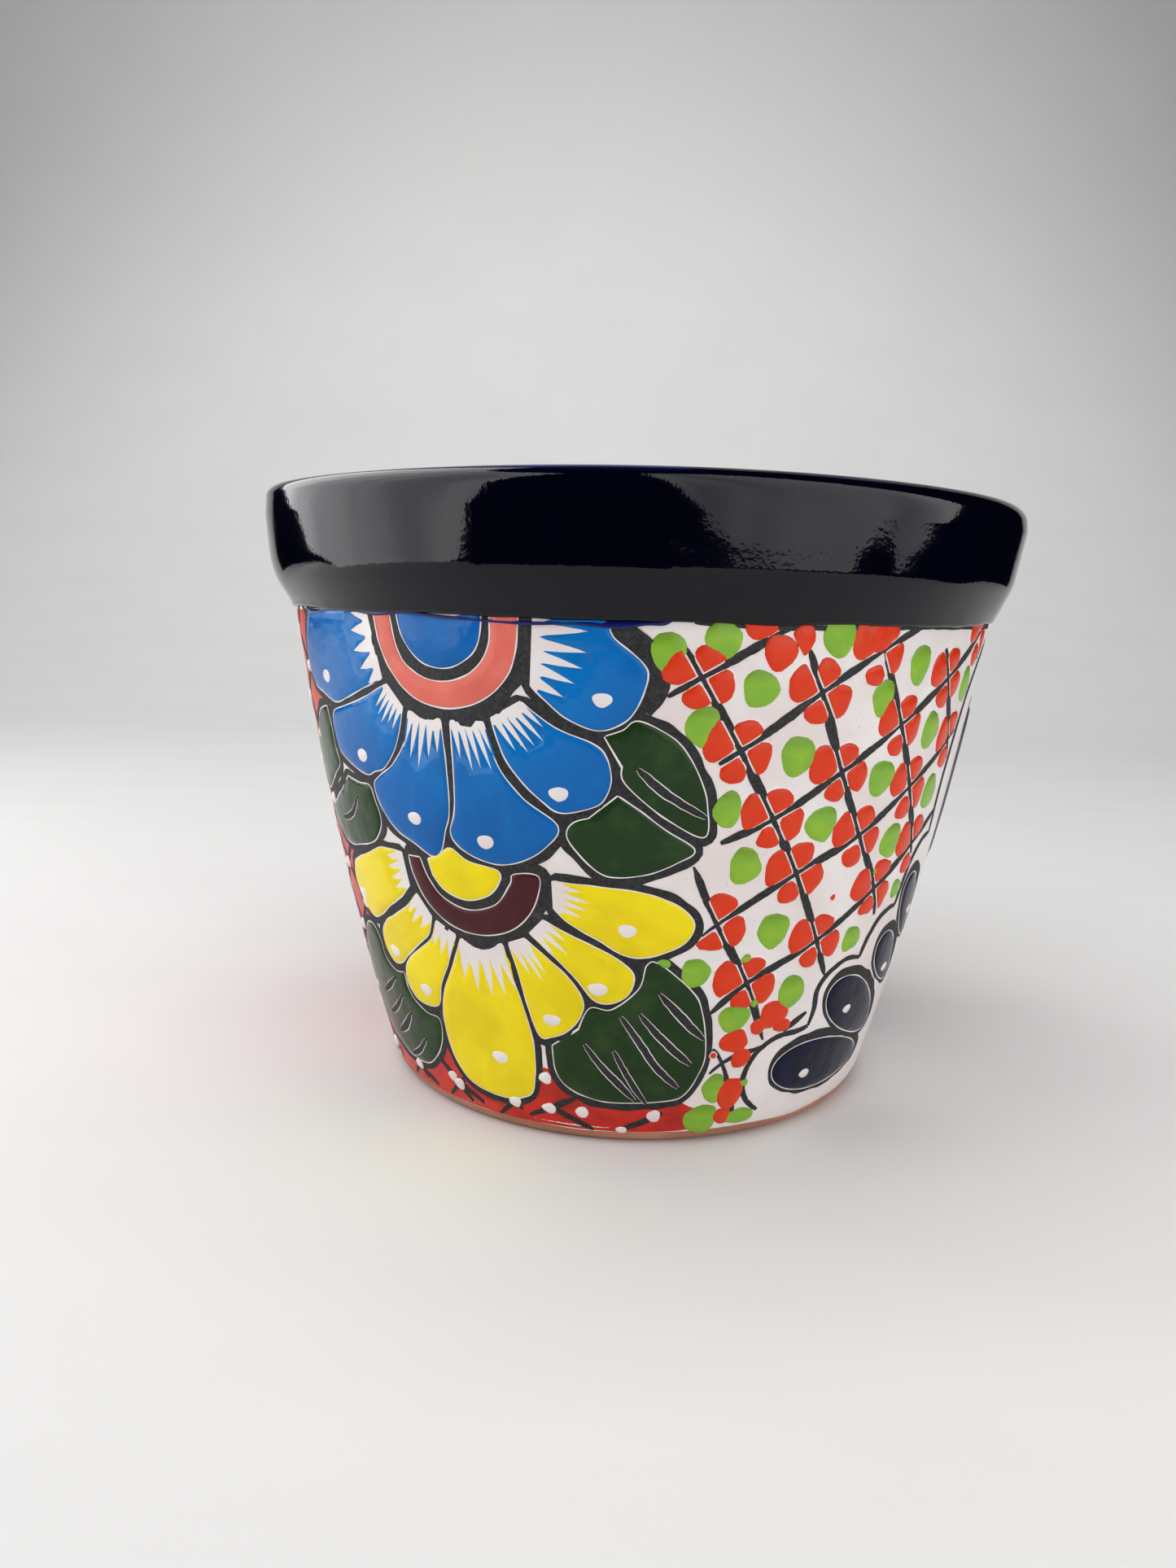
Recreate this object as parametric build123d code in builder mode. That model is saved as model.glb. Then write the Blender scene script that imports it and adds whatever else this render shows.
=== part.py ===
"""Glazed earthenware flower pot with a collar rim, built the way the potter builds it.

The clay is three members joined with slip: a floor slab with a drain hole, a tapered wall and a collar that laps
round the wall's top. Fired glaze coats lie on the clay, and thick pools of coloured enamel stand on the wall's coat.
Millimetres, +Z up, origin on the table under the axis, -Y the side with the two stacked flowers.
"""

import math
import os

from build123d import *

# Clay sizes
foot_radius = 65.8  # outside of the clay at the table, before the foot is rounded
neck_radius = 92.2  # outside of the wall where it goes under the collar
wall_bulge = 2.4  # how far the wall bows out from a straight cone
wall_thickness = 8.0
floor_thickness = 9.0
foot_rounding = 4.4
drain_radius = 7.0

# Collar sizes
clay_height = 154.5
collar_height = 28.5
collar_radius = 99.5  # outside of the clay at its widest
crease_rise = 8.5  # the collar's underside leans out up to here
crease_inset = 2.4  # the crease is this much inside the widest part
widest_drop = 6.5  # the widest part is this far under the clay's top
lap_height = 10.0  # the wall's top stands this deep inside the collar
lip_outer_rounding = 4.0
lip_inner_rounding = 4.0
crease_rounding = 7.0

# Glaze coats
wall_coat = 0.4
collar_coat = 0.5
bare_foot = 5.0  # the wall's coat stops this far above the table
inner_reach = 14.0  # the collar's coat runs this far down inside
slip_gap = 0.03  # clearance between members and under each coat

# Enamel pools
enamel_rise = 0.35  # top of a pool above the white coat
pool_reach = 8.0  # a pool's outline is cut this far to each side of the wall
pattern_turn = 80.0  # degrees from -Y to the line about which the whole pattern is mirrored
drawn_height = 126.0  # the outlines are drawn for a wall this high, and are stretched to the wall's real height

# Places that follow from the sizes
collar_bottom = clay_height - collar_height
lap_top = collar_bottom + lap_height
crease_height = collar_bottom + crease_rise
crease_radius = collar_radius - crease_inset
widest_height = clay_height - widest_drop


def wall_point(height, out=0.0):
    """The point of the wall's bowed outside at a height, moved outwards by out."""
    run = neck_radius - foot_radius
    chord = math.hypot(run, collar_bottom)
    bow_radius = (chord**2 / 4 + wall_bulge**2) / (2 * wall_bulge)
    set_back = bow_radius - wall_bulge
    centre_r = (foot_radius + neck_radius) / 2 - set_back * collar_bottom / chord
    centre_z = collar_bottom / 2 + set_back * run / chord
    return (centre_r + math.sqrt((bow_radius + out) ** 2 - (height - centre_z) ** 2), height)


def wall_band(low, high, inside, outside):
    """The outline between two parallel bowed lines, from one height to another."""
    middle = (low + high) / 2
    with BuildLine() as outline:
        ThreePointArc(*[wall_point(z, outside) for z in (low, middle, high)])
        Line(wall_point(high, outside), wall_point(high, inside))
        ThreePointArc(*[wall_point(z, inside) for z in (high, middle, low)])
        Line(wall_point(low, inside), wall_point(low, outside))
    return outline.line


def write(part, name):
    """Labels one finished piece and writes its STEP file."""
    part.label = name
    os.makedirs("parts", exist_ok=True)
    export_step(part, f"parts/{name}.step")


# Floor slab: its edge is the foot, which is bare clay
with BuildPart() as clay_floor:
    with BuildSketch(Plane.XZ):
        with BuildLine():
            ThreePointArc(*[wall_point(z) for z in (0, floor_thickness / 2, floor_thickness)])
            Polyline(wall_point(floor_thickness), (0, floor_thickness), (0, 0), wall_point(0))
        make_face()
    revolve(axis=Axis.Z)
    fillet(clay_floor.faces().sort_by(Axis.Z)[0].edges(), radius=foot_rounding)
    with Locations((0, 0, floor_thickness)):
        Hole(radius=drain_radius, depth=floor_thickness)

# Tapered wall: it stands on the floor slab, and its top is a straight neck inside the collar
with BuildPart() as clay_wall:
    with BuildSketch(Plane.XZ):
        add(wall_band(floor_thickness, lap_top, -wall_thickness, 0))
        make_face()
    revolve(axis=Axis.Z)
    with BuildSketch(Plane.XY.offset(collar_bottom)):
        Circle(radius=neck_radius + wall_thickness)
        Circle(radius=neck_radius, mode=Mode.SUBTRACT)
    extrude(amount=lap_height, mode=Mode.SUBTRACT)


def collar_outline(grow):
    """The collar's section, with its open faces moved out by grow."""
    top = clay_height + grow
    inside = -wall_thickness - grow
    seat = neck_radius + slip_gap
    with BuildSketch() as section:
        with BuildLine():
            Polyline(
                (seat, lap_top),
                (seat, collar_bottom - grow),
                (crease_radius + grow, crease_height - grow / 2),
                (collar_radius + grow, widest_height),
                (collar_radius + grow - crease_inset / 4, top),
                wall_point(top, inside),
            )
            ThreePointArc(*[wall_point(z, inside) for z in (top, (top + lap_top) / 2, lap_top)])
            Line(wall_point(lap_top, inside), (seat, lap_top))
        make_face()
        lip_inner, lip_outer = section.vertices().sort_by(Axis.Y)[-2:].sort_by(Axis.X)
        crease = section.vertices().sort_by_distance((crease_radius + grow, crease_height - grow / 2))[0]
        fillet(lip_outer, radius=lip_outer_rounding + grow)
        fillet(lip_inner, radius=lip_inner_rounding + grow)
        fillet(crease, radius=crease_rounding)
    return section.sketch


# Collar: it sits on the wall's top edge and laps round it
with BuildPart() as clay_collar:
    with BuildSketch(Plane.XZ):
        add(collar_outline(0))
    revolve(axis=Axis.Z)

# White coat on the wall, from just above the foot to the collar
with BuildPart() as wall_glaze:
    with BuildSketch(Plane.XZ):
        add(wall_band(bare_foot, collar_bottom - slip_gap, slip_gap, wall_coat))
        make_face()
    revolve(axis=Axis.Z)

# Cobalt coat over the collar: outside, over the lip and part of the way down inside
with BuildPart() as collar_glaze:
    with BuildSketch(Plane.XZ):
        add(collar_outline(collar_coat))
        add(collar_outline(slip_gap), mode=Mode.SUBTRACT)
        with Locations((0, collar_bottom)):
            Rectangle(collar_radius * 2, collar_height, align=(Align.CENTER, Align.MAX), mode=Mode.SUBTRACT)
        with Locations((0, clay_height - inner_reach)):
            Rectangle(neck_radius, collar_height, align=(Align.MIN, Align.MAX), mode=Mode.SUBTRACT)
    revolve(axis=Axis.Z)


# Enamel outlines: smooth lines through (degrees round the wall from -Y, drawn height) points, closed by a line.
# Each petal starts and ends at its flower's ring. What lies above the collar's lower edge is cut off there.
blue_outlines = [
    [(-34.3, 127), (-33.4, 120), (-31, 115.6), (-27.3, 113.8), (-23.6, 115.4), (-21, 120), (-20.3, 127)],
    [(-40.5, 127.5), (-50, 128.5), (-57.5, 125.5), (-61.8, 119.5), (-63.8, 113), (-62, 106.8), (-57.5, 104.8),
     (-52.3, 103.3), (-45.5, 106.5), (-38.8, 110)],
    [(-37.8, 109), (-44.5, 104.6), (-50, 102.2), (-54.3, 100.4), (-55.2, 96), (-54.2, 91.3), (-51, 88.9), (-46, 87),
     (-43.5, 88.2), (-40.6, 89.8), (-37.2, 95.6), (-34.7, 104.6)],
    [(-33.7, 103.4), (-35.2, 96.5), (-38.6, 90.6), (-42.5, 87), (-44.2, 84.5), (-43, 79.5), (-40, 75), (-36, 72.6),
     (-32.6, 70.4), (-30.6, 72), (-29.3, 77), (-28, 82), (-27.7, 92), (-27.9, 102.6)],
    [(-26.3, 102.6), (-26.4, 92), (-27, 82), (-28.2, 77), (-27, 74), (-24, 71.8), (-20, 70.9), (-16, 72.5),
     (-12.5, 76), (-10.4, 81.4), (-15.4, 87.4), (-18.7, 94), (-20.6, 102.8)],
    [(-19.9, 103.6), (-18.3, 95.5), (-15.8, 90), (-12.8, 86), (-10, 83.8), (-6, 85.5), (-4, 87.5), (-3, 92),
     (-3.8, 97), (-5.5, 99.8), (-10.5, 102.8), (-15.2, 107.6)],
    [(-13.9, 110.9), (-12, 108), (-9, 104), (-5, 101.7), (-2, 103.5), (0, 106.5), (1.5, 113.5), (0.5, 117),
     (-3, 121.5), (-4.6, 125.5), (-8, 128), (-13.9, 127)],
]
yellow_outlines = [
    [(-33.6, 69.2), (-31, 71), (-28.7, 72.4), (-25.8, 70.4), (-20.6, 69), (-20.9, 66), (-22.8, 62.8), (-26.8, 61),
     (-30.8, 62.4), (-33, 65.6)],
    [(-11.6, 61.5), (-9, 58), (-4.6, 54.6), (-0.5, 51.2), (3, 51.2), (7, 53), (9.5, 55.5), (10.3, 59), (8.6, 62.5),
     (5, 65.5), (0, 67), (-11.8, 67.6)],
    [(-16, 54.8), (-12.3, 50.4), (-8.3, 44.6), (-5.3, 39.8), (-2.5, 39.2), (0, 41), (1.1, 44), (0.9, 47.2),
     (-1.8, 50.8), (-5.8, 54), (-9.6, 56.4), (-13.2, 59)],
    [(-19.8, 51.6), (-18.6, 45), (-17.6, 37), (-15.6, 28.6), (-13, 28.8), (-10, 31), (-7.7, 35), (-7.2, 39),
     (-8.8, 43.6), (-12, 48), (-16.6, 53.2)],
    [(-28.8, 51), (-31.5, 43.5), (-35.3, 34.5), (-36.8, 26.5), (-36, 17.5), (-33.2, 11.8), (-29, 9.6), (-24, 9.1),
     (-20, 10.4), (-17.6, 13.4), (-16.6, 24), (-17.6, 34), (-19.4, 43), (-20.9, 51)],
    [(-34, 53.5), (-36, 48.5), (-40, 44.5), (-43.4, 41), (-45.6, 37.5), (-46.2, 33.6), (-44.6, 30.2), (-41.4, 29.2),
     (-37.6, 30.4), (-35.6, 36.5), (-32.6, 43.5), (-29.8, 51.4)],
    [(-37.5, 59.8), (-41, 55.6), (-45, 52.4), (-49.4, 48.8), (-51.8, 45), (-52, 40.6), (-49.8, 37.8), (-46.8, 38.6),
     (-44, 41.6), (-40, 45.6), (-36.8, 49.4), (-34.9, 54.6)],
    [(-40, 69), (-45.4, 68.6), (-50, 66.2), (-55, 63.6), (-58.8, 61), (-60.2, 56.4), (-58.4, 50.8), (-54.4, 48.2),
     (-50.8, 49.8), (-47, 53), (-42.4, 56.8), (-39.3, 61)],
]
leaf_outlines = [
    [(-3.9, 101.4), (-1.5, 103), (0.5, 105), (5, 101.6), (7.6, 97), (9.5, 91.5), (10.5, 86.5), (10.4, 79.8),
     (4, 84.8), (-1, 91.4), (-1.4, 95)],
    [(-2, 88.4), (1, 85.4), (5, 81), (9.2, 76.8), (7, 74), (3, 71.3), (-1.5, 70.2), (-4.7, 71.3), (-8.3, 76.6),
     (-9.2, 79.6), (-8.2, 82), (-6, 83.2)],
    [(-13, 25.8), (-12.7, 20), (-11, 16), (-7, 13.3), (-2, 12.2), (8, 12.9), (11.7, 14.5), (14, 20), (14.8, 26),
     (13.2, 37), (11, 42.5), (5.5, 49.4), (3.6, 49.2), (2.4, 43), (-2.2, 37.2), (-6, 37), (-7.4, 31)],
    [(-57.3, 101.6), (-62, 99.5), (-66, 94), (-68, 86), (-67.5, 79), (-63, 81), (-59, 84.4), (-55.8, 87.4),
     (-56.5, 92), (-56.6, 97)],
    [(-52.8, 84.9), (-49, 84.2), (-45.8, 84.2), (-44.9, 81), (-44, 76.4), (-45.4, 72.6), (-48, 69.8), (-53, 67.8),
     (-58, 66.6), (-63, 68.3), (-66.3, 73.5), (-62, 76.8), (-57, 80.6)],
    [(-47, 35.6), (-50.5, 35), (-53.8, 37.5), (-54.4, 42), (-56.6, 45.2), (-60.5, 44), (-64.5, 38), (-67, 30),
     (-66.5, 20), (-62.5, 13.5), (-57, 10.6), (-50, 9.8), (-45, 11.2), (-41, 15.7), (-38.8, 20.5), (-38.3, 26),
     (-42, 26.6), (-45.5, 28.9), (-47, 32)],
]
coral_outlines = [
    [(-38.8, 130), (-38.2, 119), (-35.8, 111.5), (-32, 106.8), (-27, 105.3), (-22, 106.8), (-18, 111.2),
     (-15.9, 118), (-15.4, 130), (-18.8, 130), (-19.4, 119.5), (-22.3, 113.2), (-27, 110.8), (-31.8, 112.4),
     (-34.8, 117.8), (-35.9, 130)],
]
maroon_outlines = [
    [(-38, 68.8), (-37.5, 64.5), (-35.6, 59), (-32.4, 55), (-28, 52.9), (-23.5, 53), (-19, 55.2), (-15.8, 59.4),
     (-14, 64.5), (-14, 68.4), (-17.8, 68.2), (-18.9, 64.6), (-21.8, 60.6), (-26.8, 58.4), (-31.6, 60.4),
     (-34.2, 64.4), (-35.5, 69)],
]
# The fan's petals: degrees and height of the middle, tilt from level, half length and half width
fan_petals = [
    (44, 16.8, -8, 17.5, 6.8),
    (50, 30.2, -33, 15.5, 6.2),
    (57.6, 41.4, -46, 9.8, 4.6),
    (61.6, 54.5, -62, 10.0, 4.6),
    (75, 84.0, -86, 20.0, 5.6),
]


def petal_line(angle, height, tilt, half_length, half_width, steps=12):
    """The outline of one petal of the fan: an egg, blunter at its upper end."""
    lean = math.radians(tilt)
    degree = math.radians(wall_point(height)[0])
    points = []
    for step in range(steps):
        turn = math.tau * step / steps
        along = half_length * math.cos(turn)
        across = half_width * math.sin(turn) * (1 - math.cos(turn) / 4)
        shift = along * math.cos(lean) - across * math.sin(lean)
        points.append((angle + shift / degree, height + along * math.sin(lean) + across * math.cos(lean)))
    return points


navy_outlines = [petal_line(*petal) for petal in fan_petals]


def on_wall(angle, drawn):
    """The point of the wall at an angle round it and a height of the drawn pattern."""
    turn = math.radians(angle)
    radius, height = wall_point(drawn * collar_bottom / drawn_height)
    return Vector(radius * math.sin(turn), -radius * math.cos(turn), height)


def raised_pools(outlines, all_smooth):
    """Pools of enamel: each outline is drawn on the plane that touches the wall at its middle and cut from the
    thin shell that the enamel fills."""
    with BuildPart() as pools:
        for outline in outlines:
            angle = sum(point[0] for point in outline) / len(outline)
            height = sum(point[1] for point in outline) / len(outline)
            turn = math.radians(angle)
            touching = Plane(
                on_wall(angle, height),
                x_dir=(math.cos(turn), math.sin(turn), 0),
                z_dir=(math.sin(turn), -math.cos(turn), 0),
            )
            flat = [touching.to_local_coords(on_wall(*point)) for point in outline]
            with BuildSketch(touching):
                with BuildLine():
                    smooth = Spline([(point.X, point.Y) for point in flat], periodic=all_smooth)
                    if not all_smooth:
                        Line(smooth @ 1, smooth @ 0)
                make_face()
            extrude(amount=pool_reach, both=True)
        with BuildSketch(Plane.XZ):
            add(wall_band(bare_foot, collar_bottom - slip_gap, wall_coat + slip_gap, wall_coat + enamel_rise))
            make_face()
        revolve(axis=Axis.Z, mode=Mode.INTERSECT)
    return pools.part


enamels = {
    "blue_enamel": blue_outlines,
    "yellow_enamel": yellow_outlines,
    "leaf_enamel": leaf_outlines,
    "coral_enamel": coral_outlines,
    "maroon_enamel": maroon_outlines,
    "navy_enamel": navy_outlines,
}


write(clay_floor.part, "clay_floor")
write(clay_wall.part, "clay_wall")
write(clay_collar.part, "clay_collar")
write(wall_glaze.part, "wall_glaze")
write(collar_glaze.part, "collar_glaze")

# One node for each colour, with the pattern repeated as its own mirror image on the far side
half_turn = math.radians(pattern_turn)
pattern_plane = Plane(origin=(0, 0, 0), z_dir=(math.cos(half_turn), math.sin(half_turn), 0))
for name, outlines in enamels.items():
    with BuildPart() as enamel:
        add(raised_pools(outlines, all_smooth=outlines is navy_outlines))
        mirror(about=pattern_plane)
    write(enamel.part, name)
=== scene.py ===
"""Looks of a glazed earthenware flower pot with a collar rim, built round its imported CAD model.

All that is painted on the wall is first laid out flat: along the wall, up it, and how far it rises above the white
coat. One Geometry Nodes tree then wraps it on the bowed wall, so every pool, line and dab follows the pot. The front
of the pattern is drawn once, and the far side is its mirror image, shifted a little as a painter's second copy is.
"""

import math

import bpy
import numpy as np
from bpy.props import FloatProperty, FloatVectorProperty, IntProperty, PointerProperty
from mathutils import Matrix, Vector, noise
from mathutils.geometry import delaunay_2d_cdt


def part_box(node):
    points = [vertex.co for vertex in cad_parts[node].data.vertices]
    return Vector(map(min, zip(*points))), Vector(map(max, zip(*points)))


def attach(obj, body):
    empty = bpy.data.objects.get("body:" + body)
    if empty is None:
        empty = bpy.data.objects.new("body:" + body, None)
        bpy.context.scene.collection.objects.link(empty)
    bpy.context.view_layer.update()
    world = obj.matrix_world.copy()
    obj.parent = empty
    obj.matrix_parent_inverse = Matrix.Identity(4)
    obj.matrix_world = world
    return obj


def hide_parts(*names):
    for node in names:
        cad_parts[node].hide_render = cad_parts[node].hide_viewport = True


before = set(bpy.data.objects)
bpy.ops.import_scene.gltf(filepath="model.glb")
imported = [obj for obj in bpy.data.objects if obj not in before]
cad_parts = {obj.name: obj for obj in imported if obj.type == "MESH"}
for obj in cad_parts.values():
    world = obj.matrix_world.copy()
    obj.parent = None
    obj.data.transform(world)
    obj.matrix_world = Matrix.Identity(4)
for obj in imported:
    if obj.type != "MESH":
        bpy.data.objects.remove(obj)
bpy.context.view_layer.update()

bl_info = {
    "name": "Painted Flower Pot",
    "version": (1, 0, 0),
    "blender": (4, 5, 0),
    "location": "3D View > Sidebar > Flower Pot",
    "description": "Glaze, enamel and brush work of an earthenware flower pot",
    "category": "Add Mesh",
}

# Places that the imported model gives, in metres
NECK_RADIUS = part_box("clay_wall")[1].x
RIM_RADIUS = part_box("collar_glaze")[1].x
RIM_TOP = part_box("collar_glaze")[1].z
COLLAR_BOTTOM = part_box("collar_glaze")[0].z
INNER_EDGE = 0.0145  # how far under the rim's top the inside coat ends
MM = 0.001


def colour(name, description, value):
    """A colour property of the paint box."""
    return FloatVectorProperty(
        name=name, description=description, default=value, subtype="COLOR", size=3, min=0.0, max=1.0
    )


def length(name, description, millimetres):
    """A length property, given in millimetres."""
    return FloatProperty(name=name, description=description, default=millimetres * MM, unit="LENGTH", min=0.0)


class PotSizes(bpy.types.PropertyGroup):
    """Sizes of the wall that the paint follows, and of the coats and strokes on it."""

    foot_radius: length("Foot radius", "Outside of the clay at the table", 65.8)
    bow: length("Bow", "How far the wall bows out from a straight cone", 2.4)
    foot_rounding: length("Foot rounding", "Radius of the foot's lower edge", 4.4)
    wall_thickness: length("Wall thickness", "Thickness of the clay wall", 8.0)
    coat: length("White coat", "Thickness of the white coat on the wall", 0.4)
    coat_bottom: length("White coat edge", "Height at which the white coat ends", 3.4)
    unevenness: length("Unevenness", "How far the thrown wall swells and sinks", 0.22)
    pool_rise: length("Pool rise", "Height of an enamel pool above the white coat", 0.55)
    pool_shoulder: length("Pool shoulder", "Width over which a pool's edge rounds over", 0.55)
    halo: length("Halo", "White line left bare round each pool", 0.27)
    outline: length("Outline", "Width of the black outline outside the halo", 1.8)
    lattice_line: length("Lattice line", "Width of a brushed lattice line", 1.7)
    rim_waver: length("Rim waver", "How far the collar's face wavers inwards", 0.4)
    rim_dip: length("Rim dip", "How far the rim's top sinks in places", 1.0)
    hand: length("Hand", "How far the far side strays from a true mirror image", 1.1)
    seed: IntProperty(name="Seed", description="Seed of every random choice", default=7, min=0)


class PotColours(bpy.types.PropertyGroup):
    """Colours of the clay, the glazes and the enamels."""

    clay: colour("Clay", "Bare fired clay", (0.46, 0.20, 0.12))
    white: colour("White", "Tin white coat", (0.84, 0.79, 0.775))
    cobalt: colour("Cobalt", "Thick cobalt glaze", (0.0006, 0.0008, 0.0042))
    # Thin cobalt is also the tone of the painted highlight along the top of the lip.
    cobalt_thin: colour("Thin cobalt", "Cobalt glaze where it breaks over an edge", (0.012, 0.018, 0.16))
    black: colour("Black", "Matt black outline", (0.016, 0.016, 0.017))
    blue: colour("Blue", "Blue enamel", (0.003, 0.125, 0.43))
    azure: colour("Azure", "Blue enamel where the brush ran dry", (0.004, 0.21, 0.60))
    yellow: colour("Yellow", "Yellow enamel", (0.92, 0.73, 0.008))
    leaf: colour("Leaf", "Dark green enamel", (0.014, 0.040, 0.010))
    lime: colour("Lime", "Light green enamel", (0.21, 0.43, 0.035))
    orange: colour("Orange", "Orange-red enamel", (0.70, 0.034, 0.002))
    red: colour("Red", "Red ground", (0.60, 0.018, 0.008))
    coral: colour("Coral", "Coral enamel", (0.78, 0.16, 0.12))
    maroon: colour("Maroon", "Maroon enamel", (0.066, 0.012, 0.016))
    navy: colour("Navy", "Navy enamel", (0.006, 0.007, 0.022))
    floor: colour("Floor", "Studio paper", (0.80, 0.79, 0.775))


def sizes():
    """The pot's sizes, as set in the scene."""
    return bpy.context.scene.pot_sizes


def colours():
    """The pot's colours, as set in the scene."""
    return bpy.context.scene.pot_colours


# Wall ------------------------------------------------------------------------------------------------------------


class Wall:
    """The bowed outside of the clay wall: an arc of a circle, turned about the pot's axis."""

    def __init__(self):
        size = sizes()
        run = NECK_RADIUS - size.foot_radius
        chord = math.hypot(run, COLLAR_BOTTOM)
        self.bow_radius = (chord**2 / 4 + size.bow**2) / (2 * size.bow)
        set_back = self.bow_radius - size.bow
        self.centre_r = (size.foot_radius + NECK_RADIUS) / 2 - set_back * COLLAR_BOTTOM / chord
        self.centre_z = COLLAR_BOTTOM / 2 + set_back * run / chord
        self.middle = self.radius(COLLAR_BOTTOM / 2)

    def radius(self, height, out=0.0):
        """Distance from the axis at a height, on the line that lies out from the clay."""
        return self.centre_r + math.sqrt((self.bow_radius + out) ** 2 - (height - self.centre_z) ** 2)

    def flat(self, points):
        """(degrees, millimetres) points as flat points in metres along and up the wall."""
        return [(math.radians(angle) * self.middle, height * MM) for angle, height in points]


# Flat drawing ----------------------------------------------------------------------------------------------------

PATTERN_TURN = 80.0  # degrees from the front to the line about which the pattern is mirrored


def smooth_line(points, step, closed=False):
    """A smooth line through flat points, as evenly spaced points about a step apart."""
    ring = [Vector(point) for point in points]
    count = len(ring)
    line = []
    for i in range(count if closed else count - 1):
        if closed:
            before, start, end, after = (ring[(i + k) % count] for k in (-1, 0, 1, 2))
        else:
            before, start, end, after = (ring[min(max(i + k, 0), count - 1)] for k in (-1, 0, 1, 2))
        pieces = max(1, round((end - start).length / step))
        for piece in range(pieces):
            t = piece / pieces
            line.append(
                start
                + (end - before) * (t / 2)
                + (before * 2 - start * 5 + end * 4 - after) * (t * t / 2)
                + (start * 3 - before - end * 3 + after) * (t**3 / 2)
            )
    if not closed:
        line.append(ring[-1])
    return np.array(line)


def anticlockwise(line):
    """The outline, turned so that its inside is on its left."""
    x, y = line[:, 0], line[:, 1]
    area = np.sum(x * np.roll(y, -1) - np.roll(x, -1) * y)
    return line if area > 0 else line[::-1]


def edge_distance(points, line):
    """Distance of each point from a closed outline."""
    start, end = line, np.roll(line, -1, 0)
    run = end - start
    rel = points[:, None] - start[None]
    along = np.clip((rel * run).sum(-1) / np.maximum((run * run).sum(-1), 1e-18), 0, 1)
    return np.linalg.norm(rel - along[..., None] * run, axis=-1).min(1)


def inside(points, line):
    """Which points lie inside a closed outline."""
    x, y = points[:, 0][:, None], points[:, 1][:, None]
    ax, ay = line[:, 0][None], line[:, 1][None]
    bx, by = np.roll(line[:, 0], -1)[None], np.roll(line[:, 1], -1)[None]
    crosses = (ay > y) != (by > y)
    with np.errstate(divide="ignore", invalid="ignore"):
        at = ax + (y - ay) * (bx - ax) / (by - ay)
    return (crosses & (x < at)).sum(1) % 2 == 1


def side_normals(line, closed=True):
    """Unit normals on the left of a line."""
    if closed:
        run = np.roll(line, -1, 0) - np.roll(line, 1, 0)
    else:
        run = np.gradient(line, axis=0)
    return np.stack([-run[:, 1], run[:, 0]], 1) / np.maximum(np.linalg.norm(run, axis=1), 1e-12)[:, None]


def ragged(line, amount, grain, seed):
    """A random distance for each point of a line, smooth along it, from -amount to amount."""
    return np.array([noise.noise(Vector((x / grain, y / grain, seed * 7.3))) for x, y in line]) * amount


def grown(line, width, rough=0.0, seed=0):
    """A closed outline moved out by a width that may be rough, without the loops that this makes in its corners."""
    line = anticlockwise(line)
    by = width + ragged(line, rough, 4 * MM, seed)
    moved = line - side_normals(line) * by[:, None]
    keep = edge_distance(moved, line) > by * 0.9
    return moved[keep]


def cut_off(line, top):
    """The part of a closed outline that lies under a height."""
    kept = []
    for start, end in zip(line, np.roll(line, -1, 0)):
        if start[1] <= top:
            kept.append(start)
        if (start[1] <= top) != (end[1] <= top):
            kept.append(start + (end - start) * ((top - start[1]) / (end[1] - start[1])))
    return np.array(kept)


def far_side(line):
    """The mirror image of a flat line, strayed by a hand's width."""
    wall, hand = Wall(), sizes().hand
    turned = []
    for x, y in line:
        stray = noise.noise_vector(Vector((x / 0.03, y / 0.03, 5.0))) * hand
        turned.append((2 * math.radians(PATTERN_TURN) * wall.middle - x + stray.x, y + stray.y * min(1.0, y / 0.02)))
    return np.array(turned)


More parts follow.
